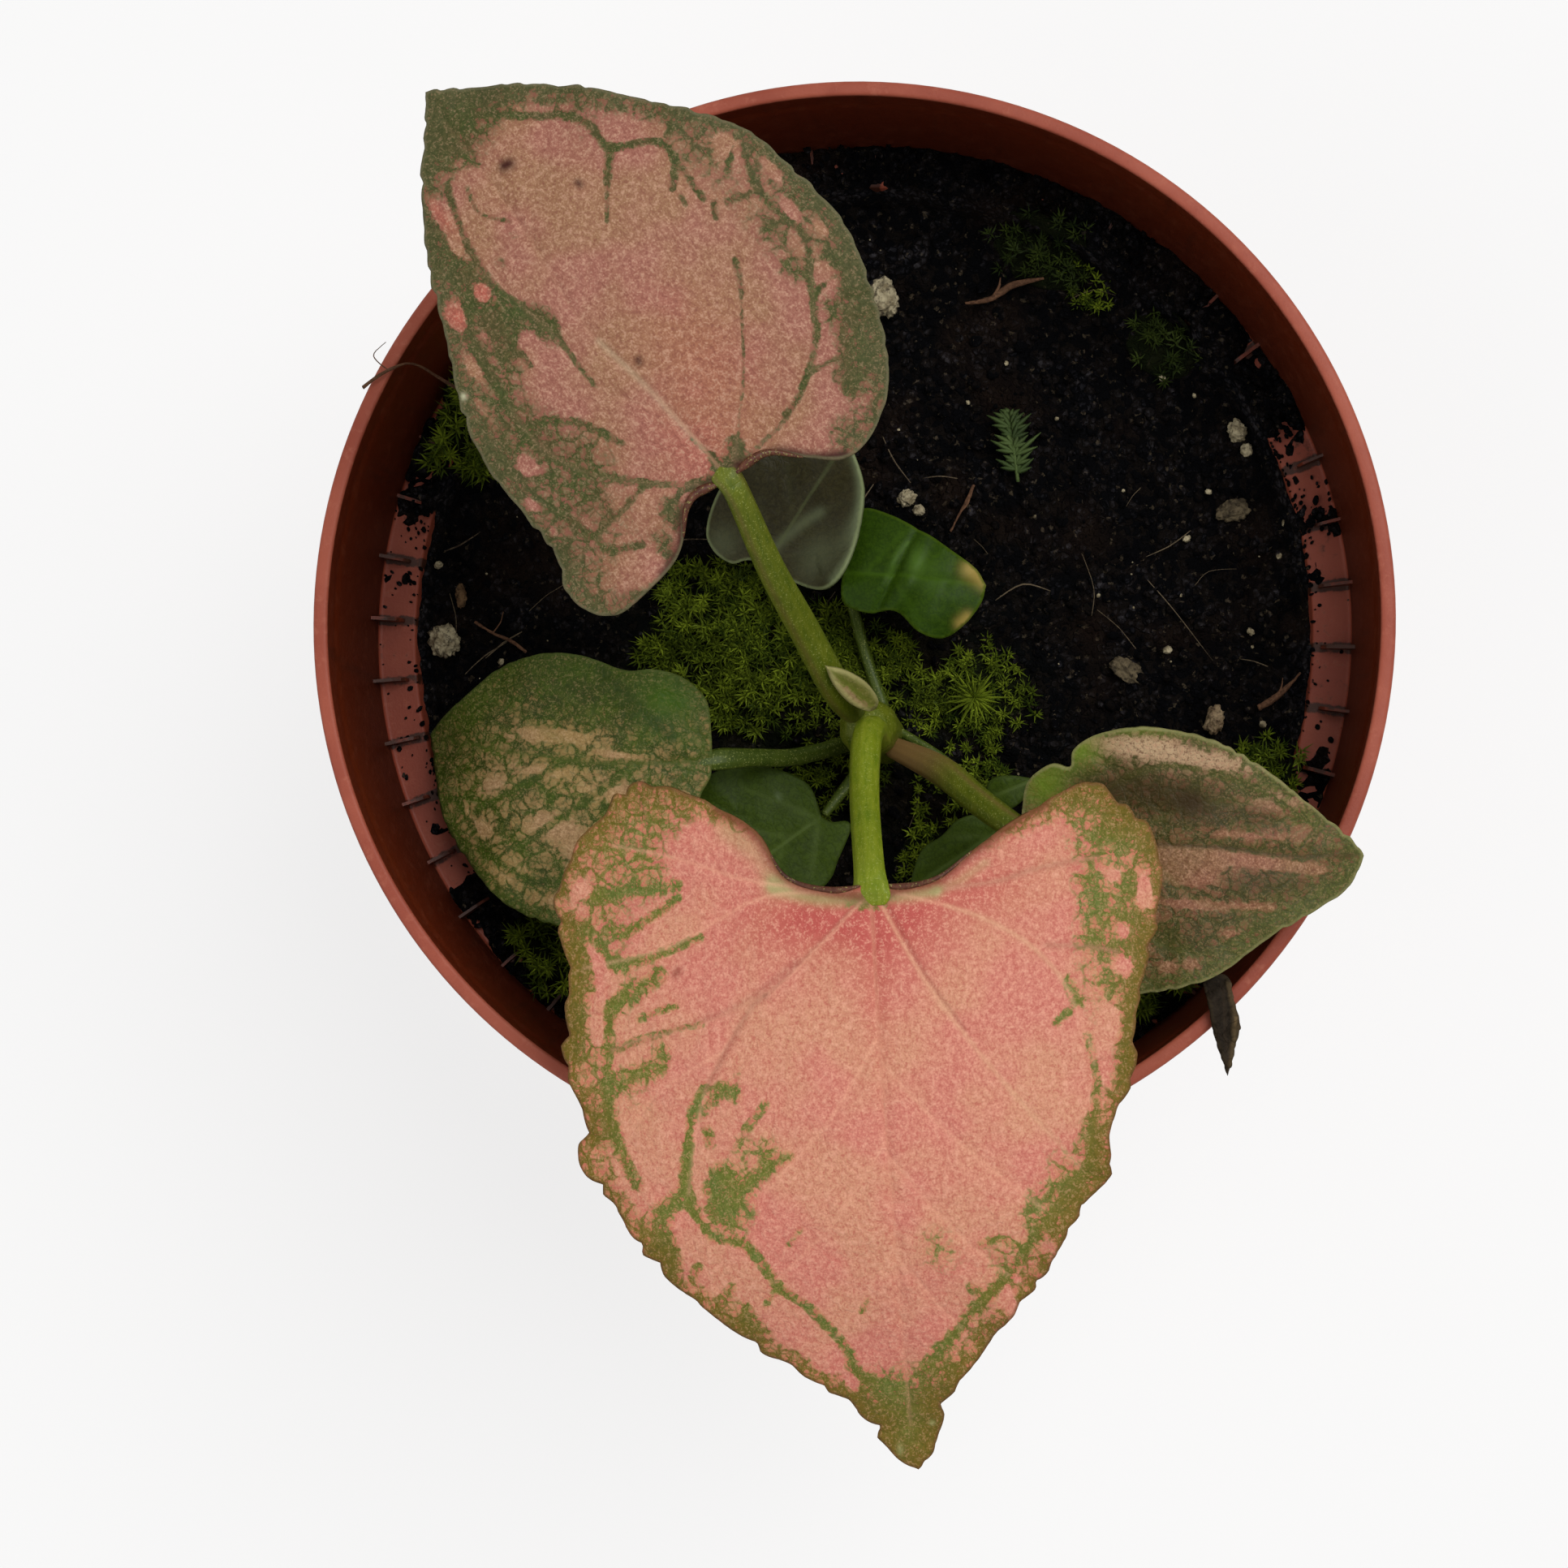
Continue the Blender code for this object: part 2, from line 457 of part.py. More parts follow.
def add_blade(name, spec, rings, steps, thickness, group):
    """A leaf blade: rings that shrink from the outline to the hub, thickened to a closed sheet."""
    left = spline([spec["notch"], *spec["left"], spec["tip"]], steps)
    right = spline([spec["notch"], *spec["right"], spec["tip"]], steps)
    outline = np.concatenate([right, left[::-1][1:-1]])
    hub = np.array(spec["hub"])
    count = len(outline)
    layers = [hub + (outline - hub) * ring / rings for ring in range(1, rings + 1)]
    plan = np.concatenate([[hub], *layers])
    points = blade_points(spec, plan[:, 0], plan[:, 1])
    faces = [(0, 1 + index, 1 + (index + 1) % count) for index in range(count)]
    for ring in range(rings - 1):
        inner = 1 + ring * count
        outer = inner + count
        for index in range(count):
            after = (index + 1) % count
            faces.append((inner + index, outer + index, outer + after, inner + after))
    blade = add_mesh(name, points.tolist(), faces, spec["colour"], 0.5, group)
    solid = blade.modifiers.new("thickness", "SOLIDIFY")
    solid.thickness = thickness * MM
    solid.offset = 0.0
    return blade


def add_moss(name, x, y, along, across, turn, height, group):
    """A moss cushion: a low dome whose underside follows the soil."""
    work = bmesh.new()
    bmesh.ops.create_uvsphere(work, u_segments=14, v_segments=8, radius=1.0)
    angle = math.radians(turn)
    for vert in work.verts:
        u, v, w = vert.co
        bulge = 1.0 + 0.08 * math.sin(5.0 * u + 3.0 * v + x)
        px = x + bulge * (along * u * math.cos(angle) - across * v * math.sin(angle))
        py = y + bulge * (along * u * math.sin(angle) + across * v * math.cos(angle))
        px, py = inside_wall(px, py)
        rise = height * max(w, 0.0) * (1.0 + 0.12 * math.sin(7.0 * u - 4.0 * v + y))
        vert.co = Vector((px, py, soil_height(px, py) + GAP + rise)) * MM
    mesh = bpy.data.meshes.new(name)
    work.to_mesh(mesh)
    work.free()
    mesh.shade_smooth()
    return add_object(name, mesh, MOSS_GREEN, 0.95, group)


def add_grain(name, x, y, along, across, up, turn, group):
    """A pebble, perlite grain or bark chip that lies on the soil."""
    work = bmesh.new()
    bmesh.ops.create_icosphere(work, subdivisions=2, radius=1.0)
    angle = math.radians(turn)
    middle = soil_height(x, y) + GAP + up
    for vert in work.verts:
        u, v, w = vert.co
        lump = 1.0 + 0.1 * math.sin(4.0 * u + 2.0 * v + 3.0 * w + x) - 0.1
        px = x + lump * (along * u * math.cos(angle) - across * v * math.sin(angle))
        py = y + lump * (along * u * math.sin(angle) + across * v * math.cos(angle))
        vert.co = Vector((px, py, middle + lump * up * w)) * MM
    mesh = bpy.data.meshes.new(name)
    work.to_mesh(mesh)
    work.free()
    mesh.shade_smooth()
    colour = BARK if name.startswith("bark") else PALE_GRAIN
    return add_object(name, mesh, colour, 0.9, group)


def add_sprig(group):
    """The seedling: narrow leaflets that spread left and right from a stem, as one flat frond."""
    x, y = SPRIG_BASE
    turn = math.radians(SPRIG_HEADING)
    points = []
    for s, left, right in SPRIG_STATIONS:
        for t in (left, 0.0, -right):
            px = x + s * math.cos(turn) - t * math.sin(turn)
            py = y + s * math.sin(turn) + t * math.cos(turn)
            points.append((px, py, soil_height(x, y) + SPRIG_LIFT + 0.06 * s))
    faces = []
    for row in range(len(SPRIG_STATIONS) - 1):
        for column in range(2):
            first = 3 * row + column
            faces.append((first, first + 1, first + 4, first + 3))
    sprig = add_mesh("seedling_sprig", points, faces, BRIGHT, 0.5, group)
    solid = sprig.modifiers.new("thickness", "SOLIDIFY")
    solid.thickness = SPRIG_THICKNESS * MM
    solid.offset = 0.0


def main():
    clear_scene()
    parts = collection("potted_syngonium")
    cutters = collection("cutters")
    add_pot(parts, cutters)
    add_soil(parts, cutters)
    add_tube("crown_stem", CROWN_ROUTE, CROWN_RADII, GREEN, parts, steps=3)
    for name, spec in BLADES.items():
        big = spec["tip"][0] > 20.0
        rings = BLADE_RINGS if big else 3
        steps = EDGE_STEPS if big else 2
        add_blade(name, spec, rings, steps, BLADE_THICKNESS, parts)
    for name, spec in STALKS.items():
        add_tube(name, spec["route"], spec["radii"], spec["colour"], parts)
    for name, sizes in MOSS.items():
        add_moss(name, *sizes, parts)
    for name, sizes in GRAINS.items():
        add_grain(name, *sizes, parts)
    for name, (places, radius) in TWIGS.items():
        route = [(x, y, soil_height(x, y) + lift) for x, y, lift in places]
        add_tube(name, route, [radius] * len(route), BARK, parts)
    add_tube("rootlet", ROOTLET_ROUTE, [ROOTLET_RADIUS] * len(ROOTLET_ROUTE), BARK, parts)
    add_sprig(parts)


main()
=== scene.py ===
"""Looks of the potted syngonium: fine leaves, stalks, moss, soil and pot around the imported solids.

Lengths are in millimetres and are turned into metres where a mesh is made. Colours are display values
from 0 to 255. A blade lies in its own frame: s runs from the stalk towards the tip, and t to the left.
"""
from math import atan2, cos, degrees, exp, hypot, pi, radians, sin, sqrt, tau

import bpy
import numpy as np
from mathutils import Matrix, Vector, kdtree, noise
from mathutils.geometry import delaunay_2d_cdt


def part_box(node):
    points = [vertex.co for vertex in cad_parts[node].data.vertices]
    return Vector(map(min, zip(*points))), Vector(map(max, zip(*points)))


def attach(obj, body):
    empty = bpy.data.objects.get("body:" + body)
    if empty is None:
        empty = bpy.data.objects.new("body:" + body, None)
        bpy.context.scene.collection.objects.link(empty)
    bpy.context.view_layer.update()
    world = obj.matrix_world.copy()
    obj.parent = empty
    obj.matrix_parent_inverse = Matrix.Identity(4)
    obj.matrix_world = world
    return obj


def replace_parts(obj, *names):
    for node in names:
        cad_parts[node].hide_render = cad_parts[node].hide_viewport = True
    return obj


MM = 0.001
BODY = "root"

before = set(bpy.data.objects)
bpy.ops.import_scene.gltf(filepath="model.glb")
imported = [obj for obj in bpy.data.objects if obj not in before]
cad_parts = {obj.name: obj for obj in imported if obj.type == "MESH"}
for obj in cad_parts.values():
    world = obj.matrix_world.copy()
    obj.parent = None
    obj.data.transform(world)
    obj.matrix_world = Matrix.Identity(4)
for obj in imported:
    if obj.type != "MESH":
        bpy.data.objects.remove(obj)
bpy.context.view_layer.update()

# ---- sizes, the first of them from the solids ----
RIM_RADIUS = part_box("pot")[1][0] / MM
POT_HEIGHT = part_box("pot")[1][2] / MM
SOIL_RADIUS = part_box("potting_soil")[1][0] / MM
SOIL_LEVEL = 57.6
SOIL_SWELL = 0.4

LIP_WIDTH = 1.4
BAND_HEIGHT = 15.0
LEDGE_Z = POT_HEIGHT - BAND_HEIGHT
LIP_INNER = RIM_RADIUS - LIP_WIDTH
LEDGE_OUTER = LIP_INNER - 0.9
LEDGE_INNER = LEDGE_OUTER - 3.3
WALL = 1.0
BASE_RADIUS = 31.0
FLOOR_TOP = 2.7
FLOOR_BOTTOM = 1.2
RIB_COUNT = 48
RIB_PHASE = 0.72
DRAIN_COUNT = 8
DRAIN_CIRCLE = 19.0
DRAIN_RADIUS = 2.5

BLADE_THICKNESS = 0.34
CAP_BULGE = 0.3
STALK_RIDGES = 9
RIDGE_DEPTH = 0.022
CRUMBS_ON_SOIL = 4200
CRUMBS_ON_LEDGE = 2400
LOOSE_SPECKS = 90
LOOSE_FIBRES = 26
SHOOT_LEAVES = 13
STAR_NEEDLES = 34
SPIRAL = 2.4

# ---- leaf blades ----
# base: where the blade's own frame starts. heading: the way of s in degrees. notch, tip: ends of the edge.
# left, right: the edge's points. ridge: (s, height) along the middle. cup: how the two sides bend up.
# teeth: depth and pitch on the left and the right side. wave: height and length of the edge's waves.
# veins: lines of (s, t) that are pressed into the blade, the midrib first. quilt: the swelling between them.
# vein_reach: half width of a painted vein. midrib_reach: how far from the stalk the midrib's colour reaches.
# green, brown and pale lines: (reach, strength, points) of coloured lines.
# green, pale and blush: (s, t, reach in s, reach in t, strength) of soft spots; a negative green is pink.
# Some brown lines are painted shade in folds, and some pale lines and spots are painted highlights.
# base_green: the green of the whole blade. band: strength and width of the green margin.
# line_width: widens or narrows the green lines. gap: the distance between mesh points.
PLAIN = dict(
    teeth=((0, 2), (0, 2)), wave=(0.15, 6), quilt=0.5, vein_reach=0.3, green_lines=[], rust_lines=[],
    pale_lines=[], green=[], band=(0, 1), base_green=1.3, blush=[], pale=[], line_width=0.8, gap=0.3,
    midrib_reach=30, notch=(0, 0), cup=(0, 0))

FRONT = dict(
    PLAIN, base=(3.1, -22.4, 91), heading=-86, notch=(-0.6, 0), tip=(45.9, -0.2),
    left=[(-0.2, 2.5), (-0.7, 5.3), (-2.6, 8.1), (-4.9, 11.8), (-7.3, 17.2), (-5.8, 19.3), (-3.2, 21.8),
        (1, 22.4), (6, 21), (11, 19.6), (15.5, 19), (19.3, 17), (22.5, 16.8), (25.5, 14.2), (30, 11.3),
        (34.6, 7.2), (37.6, 4.9), (40.1, 2.7), (42.3, 2.1), (44.6, 1.2)],
    right=[(-0.3, -3), (-1.6, -6.5), (-5.2, -8.5), (-8, -12.6), (-9.7, -17.5), (-7.8, -20.5),
        (-4.5, -23.6), (0, -25.2), (5, -24.3), (11, -25), (16, -23.6), (19.7, -24), (22.5, -22),
        (28, -18.5), (34.5, -11.8), (38.6, -6.2), (41.2, -3.6), (44.6, -1.7)],
    ridge=[(-10, 91.6), (0, 91), (10, 92.8), (20, 93.2), (30, 91.2), (46, 82.5)],
    cup=(-0.0065, -0.0065), teeth=((0.36, 2.9), (0.62, 3.5)), wave=(0.45, 9), quilt=0.8, vein_reach=0.17,
    line_width=0.85, gap=0.22, midrib_reach=14,
    veins=[[(0, 0), (12.5, 0), (25, 0.1), (42, -0.2)],
        [(0.8, -0.8), (5.7, -6.1), (8.8, -10.1), (14.3, -13.6), (22.3, -15.6)],
        [(1.1, 0.8), (6.3, 3.3), (10.8, 6.1), (15.6, 9.5), (22, 14.5)],
        [(0, -1.7), (-0.1, -8.4), (2.9, -15), (3.9, -19), (4.5, -23)],
        [(-0.2, -2), (-1.4, -9), (-3.6, -15), (-5, -20)],
        [(0.2, 1.7), (1.5, 5.7), (2.9, 8.9), (4.9, 11.8), (7.3, 13.9), (12.1, 15.8), (14.3, 16.1)],
        [(0.2, 5.8), (-0.1, 9.9), (-0.8, 12.6), (-1.2, 15.2), (-1.4, 17.5)],
        [(11, 0), (17, -4), (22.5, -9.5)], [(19, 0), (25, -4.5), (29.5, -9.5)],
        [(27, 0), (31.5, -3), (34.5, -5.5)], [(13, 0), (19, 5), (25, 11.5)],
        [(20, 0), (26, 4.5), (30, 8.4)], [(28, 0), (32, 3), (34, 4.5)],
        [(5.1, 13.3), (5.5, 16.7), (6, 18.5)], [(6.8, -7.5), (9.4, -13.7), (10.3, -18.7), (11, -21)],
        [(11.5, -12), (14.5, -17.5), (17.7, -20.1)]],
    green_lines=[(0.4, 0.9, [(2.5, -21.9), (4.1, -20.8), (4.8, -19.6)]),
        (0.5, 1, [(7.3, -20.5), (9.1, -21.2), (13.7, -21.6), (17.8, -21.1), (21.4, -19.6)]),
        (0.4, 0.8, [(2.2, -19.9), (0.8, -17.1), (-0.5, -15.1)]),
        (0.45, 0.85, [(4.3, -20.8), (4.2, -18.4), (3.5, -16), (2.7, -13.6)]),
        (0.85, 0.75, [(7.3, -20.5), (6.5, -18.8), (5.5, -17)]),
        (0.35, 0.7, [(8.7, -18.6), (8.1, -16.8), (7.9, -15.7)]),
        (0.35, 0.6, [(11, -21), (10.3, -18.7), (9.7, -15.9), (9.4, -13.7)]),
        (0.85, 0.75, [(11.3, -17), (12.4, -17.4), (13, -19.3), (13.7, -21)]),
        (0.38, 0.85, [(14.1, -13.7), (15.5, -14.6), (17.6, -15.2), (21.6, -15.6)]),
        (0.8, 0.7, [(16, -14.4), (15.3, -13.4), (14.4, -12.3), (14.9, -11.4)]),
        (0.6, 0.6, [(17.5, -13.7), (18.4, -13.6)]), (0.45, 0.65, [(17.4, -10.6), (15.7, -9)]),
        (0.5, 0.7, [(22.1, -11.3), (20.5, -9.1), (19.8, -7.5)]),
        (0.5, 0.7, [(-0.8, -23.1), (-1.1, -20.6), (-1.5, -15.1)]),
        (1, 1, [(1.5, -23.2), (4.7, -23.6), (10.8, -24.2)]),
        (0.5, 1, [(18.4, -15.3), (22, -15.8), (25.5, -14.2), (26.6, -11.3), (29.9, -9.2), (32, -6.7),
            (35.5, -4.4), (37, -4.2), (38.2, -2.3), (38.6, -0.8)]),
        (0.5, 0.8, [(22, -14), (20.7, -12.5)]), (0.8, 0.9, [(22.3, -16), (24.3, -18.1), (27.4, -17.5)]),
        (0.4, 0.45, [(25.4, -7.1), (26.6, -8.1)]), (0.4, 0.45, [(32.2, -3), (31.1, -2.4)]),
        (0.45, 0.7, [(28, -15.3), (29.4, -16.4)]), (0.45, 0.7, [(29.6, -12.8), (31.2, -14)]),
        (0.45, 0.7, [(31.4, -11.8), (33.2, -12.4)]), (0.4, 0.6, [(29.9, -9.2), (31.2, -10.4)]),
        (0.5, 0.7, [(7.9, 14.6), (9.5, 15.2)]), (0.4, 0.65, [(10.3, 14.4), (11, 13.5)]),
        (0.35, 0.7, [(12.1, 15.8), (15.7, 16.2), (18.6, 15.7)]),
        (0.8, 1, [(4.9, 20.9), (11.6, 19.3), (15.9, 18.5)]),
        (0.45, 0.95, [(18.6, 15.7), (22.3, 15.2), (25.8, 11.8), (30, 8.4), (33.1, 5.1), (37.5, 1.2)]),
        (0.4, 0.6, [(22.3, 15.2), (23.6, 12.6), (24.6, 11.4)]), (0.4, 0.6, [(25.8, 11.8), (27.6, 12.4)]),
        (0.4, 0.5, [(28, 9.8), (27, 8), (27.4, 6.6)]), (0.4, 0.6, [(30, 8.4), (31.6, 9)]),
        (0.4, 0.5, [(31.6, 6.8), (30.8, 5.6)])],
    rust_lines=[(0.55, 0.8, [(0.4, -0.8), (-0.2, -3.2), (-1.4, -6.3), (-4.9, -8.4), (-7.2, -11.4)]),
        (0.5, 0.8, [(0.2, 1.6), (-0.1, 3), (-0.5, 5.2), (-2.4, 8), (-4.6, 11.4), (-5.8, 13.8)]),
        (0.3, 0.3, [(0.2, 5.8), (-0.1, 9.9), (-0.8, 12.6), (-1.4, 17.5)]),
        (0.3, 0.3, [(5.1, 13.3), (5.5, 16.7), (6, 18.5)]),
        (0.3, 0.25, [(11, -21), (9.7, -15.9), (8, -10.5), (5, -6)]),
        (0.28, 0.35, [(7.5, -8.6), (8.8, -10.1), (14.3, -13.6)]),
        (0.16, 0.3, [(1, -1.2), (5.9, -6.6), (7.5, -8.6)]),
        (0.16, 0.3, [(1.3, 1.4), (6.5, 3.8), (11, 6.6)]), (0.35, 0.5, [(5.2, -15.4), (5.4, -15.6)])],
    pale_lines=[(0.55, 0.85, [(0.5, -0.9), (0.5, -3), (0, -5.4), (-0.9, -7.4)]),
        (0.55, 0.85, [(0.5, 1.1), (0.5, 3.2), (0.3, 5)]), (0.4, 0.4, [(0.3, 5), (-0.4, 7), (-1.6, 9)]),
        (0.2, 0.25, [(1.5, 5.7), (2.9, 8.9), (4.9, 11.8), (7.3, 13.9), (8.9, 15)]),
        (0.2, 0.2, [(1.1, 0.8), (6.3, 3.3), (10.8, 6.1), (15.6, 9.5), (22, 14.5)]),
        (0.8, 0.35, [(-0.9, -7.4), (-3.1, -8.4), (-5.4, -11)])],
    green=[(0.8, 0, 0.6, 1.7, 1.3), (22.8, -12.2, 2.6, 1.7, 0.95), (19.6, -9.2, 1.9, 1.4, 0.45),
        (23.6, -13.1, 1.2, 1, 0.7), (18.7, -11.2, 1, 0.8, 0.3), (13.3, -11.1, 1, 0.7, 0.25),
        (20.9, -13, 0.7, 0.7, 0.5), (41.8, -0.8, 3.8, 4.4, 1.5), (25.7, 10.8, 2.2, 1.3, 0.45),
        (29, 8.2, 2, 1.2, 0.4), (27.5, 3.2, 2.4, 2, 0.33), (24, 13.5, 2.4, 1.2, 0.45),
        (21, 15.6, 2.4, 1.2, 0.45), (0.4, 16.7, 0.8, 0.8, 0.6), (1.9, 17, 0.8, 0.8, 0.6),
        (3.1, 17.2, 0.8, 0.8, 0.6), (1.2, 19.9, 0.9, 0.8, 0.6), (3.3, 20.1, 0.9, 0.8, 0.6),
        (5, 16.3, 0.7, 0.7, 0.5), (5.3, 18.4, 0.8, 0.7, 0.6), (5.7, 19.7, 0.8, 0.7, 0.7),
        (8.4, 17.6, 0.8, 0.8, 0.5), (9.5, 18.1, 0.9, 0.7, 0.5), (-3.2, 18.6, 0.9, 1, 0.6),
        (-3.6, 20.4, 0.9, 0.9, 0.7), (-2.3, 19.7, 0.8, 0.9, 0.6), (-1.5, 21.2, 0.9, 0.6, 0.7),
        (-5.4, 16.6, 1.2, 1.6, 0.5), (1.5, 19.2, 4.2, 2.2, 0.3), (-4.5, -20, 2.6, 2.4, 0.45),
        (0, -21.5, 3, 2, 0.35), (-2.3, -17.3, 1.8, 1.2, 0.4), (-7, -16.5, 1.4, 2.4, 0.55),
        (5.2, -22.3, 1.2, 0.8, 0.5), (12, -22.4, 2, 1, 0.6), (17, -22.2, 2.6, 1, 0.6),
        (26.5, -18, 3.2, 1.6, 0.6), (33, -12, 3, 1.4, 0.5), (37, 3, 2, 1.2, 0.5), (6, 17.6, 7, 2.8, 0.42),
        (-3.4, 18.4, 3.4, 3.4, 0.42), (-5, -18, 4, 3.6, 0.3), (5, -20.5, 6, 2.6, 0.25),
        (15, -19, 4, 2.6, 0.22), (24, 13, 6, 2.4, 0.25), (33, 6, 5, 2.6, 0.2),
        (4.5, -21.8, 0.9, 0.6, -0.9), (6.1, -21.2, 0.8, 0.7, -0.9), (9.7, -22, 0.9, 0.5, -0.8),
        (12.2, -21.8, 0.9, 0.5, -0.8), (-1.3, -23, 1, 0.7, -0.8), (3.1, -22.6, 0.7, 0.5, -0.6),
        (25.6, -15.7, 1.2, 0.8, -1.2), (27.6, -13.1, 1.2, 0.8, -1.1), (29.9, -11.3, 1.2, 0.8, -1),
        (32.5, -8.5, 1.3, 0.8, -1), (35.6, -6.1, 1.3, 0.7, -0.9), (38, -4.4, 0.9, 0.5, -0.8),
        (25.3, -18.4, 0.8, 0.5, -0.8), (29.2, -16.3, 0.8, 0.5, -0.7), (0.1, 18.7, 0.6, 0.7, -0.7),
        (4.6, 19.1, 0.7, 0.6, -0.7), (7.1, 19.4, 0.9, 1, -0.8), (1.7, 21, 1.2, 0.6, -1.4),
        (32, 8.6, 2.2, 0.8, -0.8), (10.8, 17.8, 2, 0.7, -0.6), (28, 12, 1.4, 0.6, -0.7)],
    band=(0.8, 1.3), base_green=0,
    blush=[(1.2, 0, 3.6, 6, 1), (0.6, 9, 2.2, 4, 0.5), (2, -6, 2.4, 5, 0.6), (7, 0, 6, 1.4, 0.5),
        (3, 3, 4, 3, 0.3)],
    pale=[(-1.2, -7.2, 0.9, 1, 0.6), (44, -1.2, 0.5, 0.25, 0.7), (41.9, 1.5, 0.2, 0.2, 1)])

